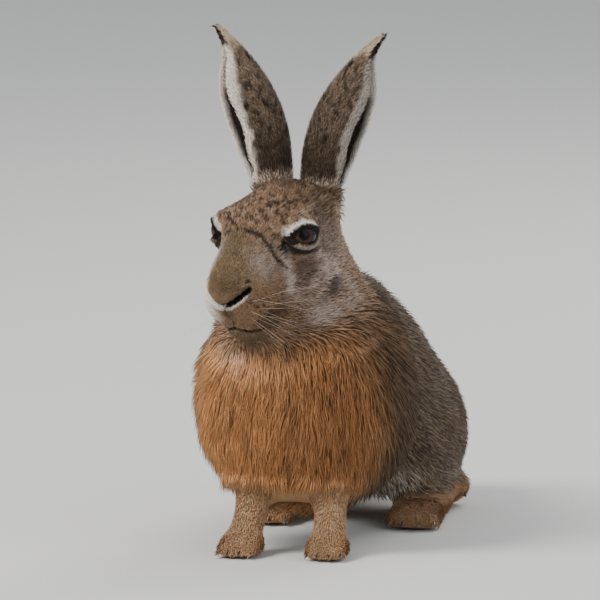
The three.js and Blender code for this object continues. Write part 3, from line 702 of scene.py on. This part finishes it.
spots = np.zeros(count)
rng = np.random.default_rng(3)
for s in SIDES.values():
    for row in range(5):
        for k in range(6):
            at = np.array([s * 15, -50 + 4.3 * k + 1.4 * row, -20 - 3.9 * row - 0.5 * k])
            at = at + rng.normal(size=3) * [0, 0.6, 0.6]
            spots = np.maximum(spots, step(1.35, 0.75, np.linalg.norm((h - at) * [0.1, 1, 1], axis=1)))
on_face(spots * step(4, 9, hx) * 0.9, (0.035, 0.02, 0.012), 0.6)
spots_above = [[[s * 13.9, -47.7, -8.5], [s * 13.2, -48.2, -8.2]] for s in SIDES.values()]
on_face(line_mark(spots_above, 1.1, 0), (0.03, 0.018, 0.01), 0.6)

print("points in the dots:", int((spots > 0.5).sum()))

# %% [markdown]
# The nostril slits and the line of the mouth are painted black, as painted shade in these openings, and a
# white strip runs under each nostril. A darker dab in the groove of the upper lip is painted shade too. The
# lids have a black rim all round. Above it comes a broad white band, below it a narrow pale band with a dark
# border.

# %% Nostrils, mouth and lids
slit = to_fold["nostril"]
under = step(0.6, -0.4, hz + 20.8 - 0.52 * np.abs(hx))
on_face(step(3.1, 2.5, slit) * under * step(14.8, 12.6, hx), WHITE, 0, WHITE_END)
dark_to = mixed(1.3, 2.1, step(-1, 2, hx))
# painted shade: the nostril slits are laid near black
on_face(step(dark_to + 0.3, dark_to - 0.3, slit), (0.008, 0.005, 0.004), 0)
# painted shade: black along the line of the mouth
on_face(step(1.5, 0.8, to_fold["mouth"]), (0.014, 0.009, 0.006), 0)
# painted shade: a darker dab in the groove of the upper lip
dab([1, -56, -27], [4.5, 5, 4.5], 0.5, 0.75, (0.11, 0.068, 0.038), 0.1)

for side, s in SIDES.items():
    q, r, x, y, edge = lids[side]
    above = step(-1.5, 1.0, y)
    below = 1 - above
    pale = step(1.4, 2.1, edge) * step(4.6, 3.7, edge + 0.9 * step(2, 9, -x) + 0.25 * lumps(h, 4, 31))
    lay(above * pale * step(-11, -7, x), WHITE, 0, WHITE_END)
    lay(below * step(0.7, 1.2, edge) * step(3.2, 2.5, edge), (0.32, 0.26, 0.215), 0)
    lay(below * step(2.8, 3.4, edge) * step(6.6, 5.0, edge), (0.024, 0.015, 0.01), 0.5)
    lay(above * step(2.3, 1.7, edge), BLACK, 0)
    corner = 2.2 * step(4.5, 7.5, x) * step(2.5, -0.5, y)
    lay(step(1.0, 0.4, edge - corner), BLACK, 0)
print("points within 2 mm of the lids' edges:", int((np.abs(lid_edge) < 2).sum()))

# %% [markdown]
# On an ear the numbers run from the root to the tip and from the back fold round to each rim, so a pale
# margin or a black tip is a simple range.

# %% Colours of the ears
outer, inner = ear_is * (1 - ear_inner), ear_is * ear_inner
lay(outer, (0.2, 0.14, 0.094), 0.3, (0.015, 0.01, 0.008))
lay(outer * step(0.2, 0.9, lumps(b, 7, 42)) * 0.6, (0.33, 0.24, 0.165), 0.15)
# darker towards the root on both ears; the stronger share on the left ear is painted shade, that ear being
# turned away from the key light
lay(outer * step(0.75, 0.35, ear_v) * np.where(ear_side > 0, 0.55, 0.25), (0.09, 0.06, 0.036))
lay(outer * step(0.45, 0.85, lumps(b, 3.6, 41)) * 0.95, (0.016, 0.01, 0.007), 0.8)
lay(outer * step(0.5, 0.7, ear_v) * 0.22, (0.3, 0.21, 0.135), 0.25)
lay(outer * step(0.4, 0.14, ear_v) * 0.75, (0.045, 0.026, 0.014), 0.6)
lay(outer * step(0.09, 0.02, ear_v), (0.42, 0.32, 0.24), 0.15)
# painted shade: the inside of each cup is laid near black for the shade deep in it; the next line paints its
# upper part pale
lay(inner, (0.03, 0.022, 0.016), 0.25, BLACK)
lay(inner * step(0.54, 0.62, ear_v), (0.52, 0.46, 0.4), 0.1, WHITE_END)
broad = step(0.45, 0.62, ear_v) * np.where(ear_side > 0, 0.02, 0.07)
margin = step(0.87, 0.93, -ear_rim + broad - 0.02 * (ear_side > 0) + 0.02 * lumps(b, 6, 43))
lay(ear_is * np.maximum(margin, step(0.94, 0.98, ear_rim)), WHITE, 0, WHITE_END)
# painted shade: the white margin of the left ear is greyed
lay(ear_is * (ear_side > 0) * margin * 0.85, (0.24, 0.215, 0.18))
tip = step(0.84, 0.88, ear_v + 0.02 * lumps(b, 6, 44))
lay(ear_is * tip, BLACK, 0.5, BLACK)
back_of_tip = outer * tip * step(-0.92, -0.82, ear_rim) * step(0.12, 0.0, ear_rim)
lay(back_of_tip, (0.62, 0.47, 0.33), 0.15, (0.3, 0.2, 0.12))
lay(outer * oval(np.column_stack([ear_v, ear_rim]), [0.8, -0.32], [0.03, 0.1], 0.4), BLACK)
print("points in the cups of the ears:", int(inner.sum()))

# %% [markdown]
# ## Lie, length and density of the coat
# Hair grows away from the nose, round the eyes, back along the trunk, down the chest and legs and up the
# ears. The way it lies is written on the skin as a vector. Its length follows the depth that the skin was sunk
# by, and the number of tufts follows from how much skin one tuft covers.

# %% Lie of the coat
from_nose = unit(h - [0, -72, -12])
for side, s in SIDES.items():
    q, r, x, y, edge = lids[side]
    away = unit(q * [1, 1, 0]) @ eye_frame(s).T
    from_nose = mixed(from_nose, away, step(7, 2, edge) * 0.75)
up_ear = np.zeros((count, 3))
for side, s in SIDES.items():
    out, front, *_ = ear_frame(side, ear_v)
    rise = np.outer(EAR_CURL * EAR_SWEEP[side] / EAR_HEIGHT * np.maximum(ear_v, 0) ** 1.5, out) + [0, 0, 1]
    spread = np.outer(np.sin(ear_angle), out) - np.outer(np.cos(ear_angle), front)
    up_ear[ear_side == s] = (rise + 0.4 * ear_rim[:, None] * spread)[ear_side == s]

lie = np.tile([0.0, 0.9, -0.45], (count, 1))
for mask, way in [
    (step(20, 60, bz) * step(0.3, 0.9, np.abs(n[:, 0])), [0.0, 0.75, -0.65]),
    (oval(b, [0, -96, 86], [70, 66, 80], 0.3), [0.0, 0.0, -1.0]),
    (oval(b, [0, -60, 160], [60, 50, 40], 0.4), [0.0, 0.4, -0.9]),
    (leg_is, [0.0, -0.2, -1.0]),
    (step(16, 10, bz), [0.0, -0.95, -0.3]),
    (tail_is, [0.0, 0.7, -0.7]),
    (face_is, from_nose @ HEAD_TURN.T),
    (ear_is, unit(up_ear)),
]:
    lie = mixed(lie, way, mask)
calm = 1 - 0.55 * np.maximum(face_is, ear_is)
for size, strength in ((24, 0.16), (7, 0.13)):
    stir = np.column_stack([lumps(b, size, 50 + size + k) for k in range(3)])
    lie += strength * stir * calm[:, None]
lie = unit(lie - n * (lie * n).sum(1)[:, None])
print("mean lie of the coat:", lie.mean(0).round(2))

# %% [markdown]
# Tufts are finest on the face and ears and about half a millimetre wide on the neck and chest, which are seen
# from close by. `cover` says how many layers of tufts lie over each spot. It is small inside the lids, in the
# nostrils and along the mouth, where the skin is bare.

# %% Length, width and density
fore_fur = step(-10, -40, by) * (1 - face_is) * (1 - ear_is) * (1 - leg_is)
long = 2.55 * coat_depth(b, h)
long = mixed(long, 3.4 + 1.2 * step(0.15, 0.0, ear_v), ear_is)
long = mixed(long, 2.8, ear_is * step(0.0, 0.5, ear_rim) * ear_inner)
long = mixed(long, 1.9, face_is * step(5, 1, lid_edge))
long = np.maximum(long, 1.3)
wide = np.clip(0.03 * long + 0.36, 0.4, 0.95)
wide = mixed(wide, 0.54, leg_is)
wide = mixed(wide, 0.5, fore_fur)
cover = 6.0 - 2.1 * face_is - 3.5 * ear_is - 2.6 * leg_is
cover = mixed(cover, 7.4, fore_fur)
cover = cover - 4.0 * step(-0.2, -0.7, n[:, 2]) * (1 - face_is) * (1 - ear_is)
cover = cover * step(0.0, 0.8, lid_edge) * (1 - face_is * step(1.6, 1.0, slit))
cover = cover * (1 - 0.9 * face_is * step(1.1, 0.6, to_fold["mouth"]))
cover = cover * (1 - 0.5 * inner * step(0.9, 0.6, np.abs(ear_rim)))
dense = cover / (long * wide)
print("tufts are", long.min().round(1), "to", long.max().round(1), "mm long")

# %% [markdown]
# An unwrap of the skin gives each tuft a place on a flat map: round the trunk and along it, round the head,
# round each leg, and along and across each ear. Then everything is stored on the skin under names, so that
# shaders and Geometry Nodes can read it.

# %% Unwrap, and write the values on the skin
def round_and_along(x, y, far):
    return np.column_stack([0.5 + np.arctan2(x, y) / (2 * math.pi), np.clip(far, 0, 1)])


spot = round_and_along(bx, bz - 70, (by + 150) / 350)
for part_is, flat in [
    (leg_is, round_and_along(bx - np.sign(bx) * 25, by + 100, bz / 60)),
    (face_is, round_and_along(hx, hz + 20, (hy + 62) / 130)),
    (ear_is, np.column_stack([0.25 + 0.22 * ear_rim + 0.5 * (ear_inner > 0.5), np.clip(ear_v, 0, 1)])),
]:
    spot[part_is > 0.5] = flat[part_is > 0.5]
spot = np.column_stack([0.02 + 0.95 * spot, np.zeros(count)])

for name, kind, values in [
    ("hair", "FLOAT_COLOR", hair), ("ends", "FLOAT_COLOR", ends), ("fleck", "FLOAT", fleck),
    ("lie", "FLOAT_VECTOR", lie), ("long", "FLOAT", long * MM), ("wide", "FLOAT", wide * MM),
    ("dense", "FLOAT", dense / MM**2), ("spot", "FLOAT_VECTOR", spot),
]:
    write(skin.data, name, kind, values)
print("flat map from", spot.min(0).round(2), "to", spot.max(0).round(2))

# %% [markdown]
# ## Shaders that read like sums
# A shader is a net of nodes. The small class below wraps one output of a node, so that `a * 2 + b` builds
# the Math nodes by itself, and `make` adds any other node. The same class serves for Geometry Nodes.

# %% A socket that can be used in sums
class Wire:
    def __init__(self, tree, socket):
        self.tree, self.socket = tree, socket

    @staticmethod
    def make(tree, kind, inputs=None, out=0, **settings):
        node = tree.nodes.new(kind)
        for key, value in settings.items():
            setattr(node, key, value)
        for key, value in (inputs or {}).items():
            if isinstance(value, Wire):
                tree.links.new(value.socket, node.inputs[key])
            else:
                node.inputs[key].default_value = value
        return Wire(tree, node.outputs[out])

    def _sum(self, operation, a, b):
        return Wire.make(self.tree, "ShaderNodeMath", {0: a, 1: b}, operation=operation)

    def __add__(self, other):
        return self._sum("ADD", self, other)

    __radd__ = __add__

    def __mul__(self, other):
        return self._sum("MULTIPLY", self, other)

    __rmul__ = __mul__

    def __lt__(self, other):
        return self._sum("LESS_THAN", self, other)

    def step(self, low, high):
        return Wire.make(self.tree, "ShaderNodeMapRange", {"Value": self, "From Min": low, "From Max": high},
                         interpolation_type="SMOOTHSTEP")

    def mix(self, a, b):
        """This wire is the share of colour b laid over colour a."""
        return Wire.make(self.tree, "ShaderNodeMix", {0: self, 6: a, 7: b}, out=2, data_type="RGBA")

    def scaled(self, amount):
        return Wire.make(self.tree, "ShaderNodeVectorMath", {0: self, "Scale": amount}, operation="SCALE")


class Look:
    """A material with its tree, ready for wires."""

    def __init__(self, name, roughness, shine=0.3):
        self.material = bpy.data.materials.new(name)
        self.material.use_nodes = True
        self.tree = self.material.node_tree
        self.finish = self.tree.nodes["Principled BSDF"]
        self.finish.inputs["Roughness"].default_value = roughness
        self.finish.inputs["Specular IOR Level"].default_value = shine

    def read(self, name, out="Fac"):
        return Wire.make(self.tree, "ShaderNodeAttribute", out=out, attribute_name=name)

    def feed(self, name, value):
        if isinstance(value, Wire):
            self.tree.links.new(value.socket, self.finish.inputs[name])
        else:
            self.finish.inputs[name].default_value = value


# %% [markdown]
# Skin and coat take the same stored colours. The bare skin is darker and finely grained. A hair is darkest at
# its root, partly its own darker base and partly painted shade deep in the coat, every tuft has its own tone,
# and some tufts, picked by chance, have a dark or pale end.

# %% Skin and coat
skin_look = Look("skin", 0.85, 0.2)
where = Wire.make(skin_look.tree, "ShaderNodeTexCoord", out="Object")
grain = Wire.make(skin_look.tree, "ShaderNodeTexNoise", {"Vector": where, "Scale": 900.0, "Detail": 3.0})
skin_look.feed("Base Color", skin_look.read("hair", "Color").scaled(0.6 + 0.4 * grain))
skin_look.feed("Normal", Wire.make(skin_look.tree, "ShaderNodeBump",
                                   {"Height": grain, "Strength": 0.5, "Distance": 0.0006}))
skin.data.materials.clear()
skin.data.materials.append(skin_look.material)

coat_look = Look("coat", 0.62)
up, pick, tone = (coat_look.read(name) for name in ("up", "pick", "tone"))
# the shaft darkens towards the root: partly the hair's own colour, partly painted shade deep in the coat
shaft = coat_look.read("hair", "Color").scaled((0.74 + 0.36 * up.step(0.0, 0.6)) * (0.86 + 0.3 * tone))
ended = (pick < coat_look.read("fleck")) * up.step(0.3, 0.85)
coat_look.feed("Base Color", ended.mix(shaft, coat_look.read("ends", "Color")))
print("nodes in the coat's material:", len(coat_look.tree.nodes))

# %% [markdown]
# ## One tuft
# A tuft is a bent blade with three sides that tapers to a point, nine triangles in all. It is about one unit
# long, and Geometry Nodes scales it where it grows. It leaves the skin at a slant and then bends over, which
# gives the coat its depth.

# %% One tuft
points, heights = [], []
for t in (0.0, 0.5):
    broad = 0.5 * math.sin(math.pi * min(0.2 + 0.72 * t, 0.93)) ** 0.8
    lift = 0.64 * t - 0.26 * t * t
    points += [(0.95 * t, -broad, lift), (0.95 * t, broad, lift), (0.95 * t, 0, lift + 0.045 * (1 - t))]
    heights += [t] * 3
points.append((0.95, 0, 0.38))
faces = []
for i, j in ((0, 1), (1, 2), (2, 0)):
    faces += [(i, 3 + j, j), (i, 3 + i, 3 + j)]
faces += [(3 + i, 6, 3 + j) for i, j in ((0, 1), (1, 2), (2, 0))]
tuft = built("tuft", points, faces)
write(tuft.data, "up", "FLOAT", heights + [1.0])
smooth(tuft.data)
print("one tuft:", triangles(tuft.data), "triangles")

# %% [markdown]
# ## Growing the coat
# Geometry Nodes scatters points on a part of the skin, as densely as the skin says, turns each one so that
# it stands on the skin and follows the lie, puts a tuft on it, and makes it all real mesh. Each tuft gets a
# tiny patch of its own on a map named OFBake, at its root's place on the unwrap.

# %% The node tree of the coat
PATCH = 0.003


def coat_tree():
    tree = bpy.data.node_groups.new("grow_coat", "GeometryNodeTree")
    for name, kind in [("Geometry", "Geometry"), ("Tuft", "Object"), ("Ruffle", "Float"), ("Seed", "Int"),
                       ("Material", "Material")]:
        tree.interface.new_socket(name, in_out="INPUT", socket_type="NodeSocket" + kind)
    tree.interface.new_socket("Geometry", in_out="OUTPUT", socket_type="NodeSocketGeometry")
    start = tree.nodes.new("NodeGroupInput")
    given = {s.name: Wire(tree, s) for s in start.outputs if s.name}

    def node(kind, inputs, out=0, **settings):
        return Wire.make(tree, kind, inputs, out, **settings)

    def named(name, kind="FLOAT"):
        return node("GeometryNodeInputNamedAttribute", {"Name": name}, data_type=kind)

    def chance(low, high, seed):
        return node("FunctionNodeRandomValue", {2: low, 3: high, "Seed": given["Seed"] + seed}, 1,
                    data_type="FLOAT")

    def store(geometry, name, kind, value, domain="POINT"):
        return node("GeometryNodeStoreNamedAttribute", {"Geometry": geometry, "Name": name, "Value": value},
                    data_type=kind, domain=domain)

    points = node("GeometryNodeDistributePointsOnFaces",
                  {"Mesh": given["Geometry"], "Density": named("dense"), "Seed": given["Seed"]}, "Points")
    normal = Wire(tree, points.socket.node.outputs["Normal"])
    points = store(points, "pick", "FLOAT", chance(0.0, 1.0, 1))
    points = store(points, "tone", "FLOAT", chance(0.0, 1.0, 2))
    stand = node("FunctionNodeAxesToRotation",
                 {"Primary Axis": normal, "Secondary Axis": named("lie", "FLOAT_VECTOR")},
                 primary_axis="Z", secondary_axis="X")
    ruffle = given["Ruffle"]
    tilt = node("ShaderNodeCombineXYZ", {"X": ruffle * chance(-1.0, 1.0, 3),
                                         "Y": ruffle * chance(-0.45, 0.3, 4),
                                         "Z": ruffle * chance(-1.0, 1.0, 5)})
    tilt = node("FunctionNodeEulerToRotation", {"Euler": tilt})
    stand = node("FunctionNodeRotateRotation", {"Rotation": stand, "Rotate By": tilt}, rotation_space="LOCAL")
    long = named("long") * chance(0.7, 1.12, 6)
    size = node("ShaderNodeCombineXYZ", {"X": long, "Y": named("wide") * chance(0.7, 1.3, 7), "Z": long})
    blade = node("GeometryNodeObjectInfo", {"Object": given["Tuft"]}, "Geometry")
    made = node("GeometryNodeInstanceOnPoints",
                {"Points": points, "Instance": blade, "Rotation": stand, "Scale": size})
    made = node("GeometryNodeRealizeInstances", {"Geometry": made})
    patch = node("ShaderNodeCombineXYZ", {"X": named("up") * PATCH, "Y": named("tone") * PATCH})
    place = node("ShaderNodeVectorMath", {0: named("spot", "FLOAT_VECTOR"), 1: patch}, operation="ADD")
    made = store(made, "OFBake", "FLOAT2", place, "CORNER")
    made = node("GeometryNodeSetMaterial", {"Geometry": made, "Material": given["Material"]})
    end = tree.nodes.new("NodeGroupOutput")
    tree.links.new(made.socket, end.inputs[0])
    return tree


grow = coat_tree()
IDENTIFIER = {s.name: s.identifier for s in grow.interface.items_tree if s.in_out == "INPUT"}
print("nodes in the tree:", len(grow.nodes))

# %% [markdown]
# The coat grows in regions, so that no piece gets too heavy. Each region copies its part of the skin, grows
# tufts on it with its own seed and ruffle, and keeps only the stored values that the coat's material reads.

# %% Grow it, region by region
def part_of_skin(name, chosen):
    """A copy of the skin that keeps only the faces with most of their points chosen."""
    bm = bmesh.new()
    bm.from_mesh(skin.data)
    drop = [f for f in bm.faces if 2 * sum(chosen[v.index] for v in f.verts) < len(f.verts)]
    bmesh.ops.delete(bm, geom=drop, context="FACES")
    mesh = bpy.data.meshes.new(name)
    bm.to_mesh(mesh)
    bm.free()
    return mesh


KEPT = {"hair", "ends", "fleck", "up", "pick", "tone", "OFBake", "position", "sharp_face", "material_index"}


def grow_coat(name, chosen, ruffle, seed, slot):
    piece = placed(name, part_of_skin(name, chosen))
    growing = piece.modifiers.new("coat", "NODES")
    growing.node_group = grow
    settings = {"Tuft": tuft, "Ruffle": ruffle, "Seed": seed, "Material": coat_look.material}
    for key, value in settings.items():
        growing[IDENTIFIER[key]] = value
    piece = applied(piece, name)
    for layer in [a.name for a in piece.data.attributes if a.name not in KEPT and a.name[0] != "."]:
        piece.data.attributes.remove(piece.data.attributes[layer])
    finished(piece, slot)
    return triangles(piece.data)


face, ears = face_is > 0.5, ear_is > 0.5
legs = (leg_is > 0.5) & ~face
tail_part = (tail_is > 0.5) & ~legs
rest = ~(face | ears | legs | tail_part)
front, left = by < -20, bx > 0
REGIONS = [
    ("coat_nose", face & (hy < -20), 0.3, "fur_head"),
    ("coat_cheek_left", face & (hy >= -20) & (hx > 0), 0.34, "fur_head"),
    ("coat_cheek_right", face & (hy >= -20) & (hx <= 0), 0.34, "fur_head"),
    ("coat_ear_left", ears & (ear_side > 0), 0.28, "fur_ear"),
    ("coat_ear_right", ears & (ear_side < 0), 0.28, "fur_ear"),
    ("coat_neck", rest & front & (bz > 135), 0.24, "fur_grey"),
    ("coat_chest", rest & front & (bz <= 135), 0.18, "fur_tawny"),
    ("coat_flank_left", rest & ~front & left, 0.3, "fur_grey"),
    ("coat_flank_right", rest & ~front & ~left, 0.3, "fur_grey"),
    ("coat_forelegs", legs & front, 0.2, "fur_leg"),
    ("coat_hind_feet", legs & ~front, 0.2, "fur_leg"),
    ("coat_tail", tail_part, 0.25, "fur_tail"),
]
total = 0
for k, (name, chosen, ruffle, slot) in enumerate(REGIONS):
    total += grow_coat(name, chosen, ruffle, 20 * k + 1, slot)
print("coat:", total, "triangles")
bpy.data.objects.remove(tuft)

# %% [markdown]
# ## Eyes
# A hare's eye is large, dark brown and glossy. The iris is coloured by how far each point lies from the line
# of sight, which is stored on the ball. The cornea bulges a little over it.

# %% Eyeballs
eye_look = Look("eye", 0.1, 0.08)
ring = eye_look.read("ring")
iris = ring.step(3.1, 3.9).mix((0.002, 0.001, 0.001, 1), (0.048, 0.021, 0.013, 1))
iris = ring.step(5.2, 7.2).mix(iris, (0.006, 0.004, 0.003, 1))
eye_look.feed("Base Color", iris)
eye_look.feed("Coat Weight", 0.12)
eye_look.feed("Coat Roughness", 0.03)

for side, s in SIDES.items():
    points, faces = ball(np.zeros(3), 1.0, 44)
    sight = unit(np.array([s * 0.754, -0.567, 0.33]))
    cosine = points @ sight
    radius = EYE_R + 0.3 * step(0.66, 0.95, cosine)
    at = from_head(points * radius[:, None] + EYE_CENTRE[side])
    eye = built("eyeball_" + side, at, faces)
    write(eye.data, "ring", "FLOAT", EYE_R * np.arccos(np.clip(cosine, -1, 1)))
    eye.data.materials.append(eye_look.material)
    smooth(eye.data)
    finished(eye, "eye", "eye_" + side)

# %% [markdown]
# ## Claws and whiskers
# Both are tapering rods, bent along a path. A claw has seven sides and a whisker three. The claws sit at the
# toe tips, half hidden in the fur.

# %% Rods and claws
def rod(path, radius, sides):
    """A closed rod along a path of points, thinning from its root to its tip."""
    path = np.array(path, float)
    run = unit(np.gradient(path, axis=0))
    across = unit(np.cross(run, [0.3, 0.2, 0.93]))
    over = np.cross(run, across)
    points = []
    for k in range(len(path) - 1):
        r = radius * (1 - 0.9 * k / (len(path) - 1))
        for j in range(sides):
            a = 2 * math.pi * j / sides
            points.append(path[k] + r * (math.cos(a) * across[k] + math.sin(a) * over[k]))
    points.append(path[-1])
    tip, faces = len(points) - 1, [list(range(sides))[::-1]]
    for k in range(len(path) - 2):
        for j in range(sides):
            a, c = k * sides + j, k * sides + (j + 1) % sides
            faces.append([a, c, c + sides, a + sides])
    faces += [[tip - sides + j, tip - sides + (j + 1) % sides, tip] for j in range(sides)]
    return np.array(points), faces


def toe_claws(s, centre, spread, reach, radius, turn_out):
    for k in (-1.5, -0.5, 0.5, 1.5):
        bend = s * math.radians(turn_out + k * 7)
        length = reach * (1 - 0.1 * abs(k - s * 0.2) ** 1.5)
        way = np.array([math.sin(bend), -math.cos(bend), 0])
        tip = np.array([centre[0] + s * k * spread, centre[1], radius * 0.85]) + length * way
        along_toe = [(-2, 0.5), (radius * 0.7, 0.3), (radius + 1.5, -0.9), (radius + 4.5, -2.6)]
        yield rod([from_body(tip + d * way + [0, 0, z]) for d, z in along_toe], 1.25 * MM, 7)


def rods_piece(name, rods, roughness, colour, slot):
    piece = built(name + "s", *joined(rods))
    look = Look(name, roughness, 0.5)
    look.feed("Base Color", colour)
    piece.data.materials.append(look.material)
    smooth(piece.data)
    finished(piece, slot)


claws = []
for s in SIDES.values():
    claws += toe_claws(s, [s * 27, -115, 7], 5, 14, 5, 4)
    claws += toe_claws(s, [s * 46, 43, 8], 6.6, 24, 6.2, 3)
rods_piece("claw", claws, 0.35, (0.045, 0.03, 0.022, 1), "fur_leg")

# %% [markdown]
# The whiskers grow from the whisker pads in four rows of three, and four stand over each eye. Chance bends
# each one a little.

# %% Whiskers
rng = np.random.default_rng(11)
whiskers = []
for side, s in SIDES.items():
    for row in range(4):
        for k in range(3):
            root = np.array([s * (12 + 1.4 * k), -49 + 4.6 * k, -21 - 4.4 * row])
            root = h[np.argmin(((h - root) ** 2).sum(1))]
            way = unit(np.array([s * 1.0, -0.2 + 0.2 * k, 0.16 - 0.22 * row]) + 0.16 * rng.normal(size=3))
            length = rng.uniform(26, 42) * (1.08 - 0.06 * k)
            droop = np.array([0, 0.12, -0.16]) + 0.05 * rng.normal(size=3)
            path = [root + way * length * t + droop * length * t * t for t in np.linspace(-0.02, 1, 9)]
            whiskers.append(rod(from_head(path), 0.1 * MM, 3))
    for k in range(4):
        root = EYE_CENTRE[side] + [s * (3 - k), -3 + 2.5 * k, 13]
        root = h[np.argmin(((h - root) ** 2).sum(1))]
        way = unit(np.array([s * 0.8, -0.25 + 0.2 * k, 0.65]) + 0.08 * rng.normal(size=3))
        path = [root + way * 17 * t + np.array([s * 2, 3, -4]) * t * t for t in np.linspace(-0.03, 1, 7)]
        whiskers.append(rod(from_head(path), 0.08 * MM, 3))
rods_piece("whisker", whiskers, 0.4, (0.62, 0.54, 0.46, 1), "fur_head")

# %% [markdown]
# With all that grows on it in place, the skin takes over from every flesh node and from both ears.

# %% The skin replaces the flesh
finished(skin, "fur_grey", *FLESH, "ear_left", "ear_right")

# %% [markdown]
# ## Camera, floor and light
# The camera stands far off with a long lens, a little above the ground and at the hare's left front, where
# the photograph was taken from.

# %% Camera
AZIMUTH, ELEVATION, AWAY = math.radians(14), math.radians(7), 9.0
SEEN_WIDE, SENSOR = 0.372, 36
toward = np.array([math.sin(AZIMUTH) * math.cos(ELEVATION), -math.cos(AZIMUTH) * math.cos(ELEVATION),
                   math.sin(ELEVATION)])
lens = bpy.data.cameras.new("camera")
lens.sensor_width = SENSOR
lens.lens = SENSOR * AWAY / SEEN_WIDE
lens.clip_start, lens.clip_end = 0.1, 400
camera = placed("camera", lens)
camera.location = from_body([-22.3, 12.5, 142.8]) + toward * AWAY
camera.rotation_mode = "QUATERNION"
camera.rotation_quaternion = Vector(-toward).to_track_quat("-Z", "Y")
bpy.context.scene.camera = camera
print("focal length:", round(lens.lens), "mm")

# %% [markdown]
# A plain pale floor and three soft round lights make a small studio. The key stands at the hare's right
# front, the fill at its left, and the one behind lights the rims of the ears and back.

# %% Floor and light
FLOOR_HALF = 90
corners = [(x * FLOOR_HALF, y * FLOOR_HALF, 0) for x, y in ((-1, -1), (1, -1), (1, 1), (-1, 1))]
floor = built("floor", corners, [(0, 1, 2, 3)])
floor_look = Look("floor", 0.9, 0.2)
floor_look.feed("Base Color", (0.62, 0.62, 0.6, 1))
floor.data.materials.append(floor_look.material)

world = bpy.data.worlds.new("studio")
world.use_nodes = True
world.node_tree.nodes["Background"].inputs["Color"].default_value = (0.92, 0.95, 1.0, 1)
world.node_tree.nodes["Background"].inputs["Strength"].default_value = 0.7
bpy.context.scene.world = world

for name, at, size, power, colour in [
    ("key", (-1.3, -1.3, 1.9), 1.3, 72, (1.0, 0.97, 0.92)),
    ("fill", (1.7, -0.9, 0.8), 1.6, 9, (0.92, 0.96, 1.0)),
    ("back", (0.6, 1.7, 1.5), 1.2, 26, (1.0, 0.98, 0.95)),
]:
    light = bpy.data.lights.new(name, "AREA")
    light.shape, light.size, light.energy, light.color = "DISK", size, power, colour
    lamp = placed(name, light)
    lamp.location = at
    lamp.rotation_mode = "QUATERNION"
    lamp.rotation_quaternion = (Vector((0, -0.05, 0.15)) - Vector(at)).to_track_quat("-Z", "Y")
    lamp.visible_camera = False
    print(name, "light:", power, "W")
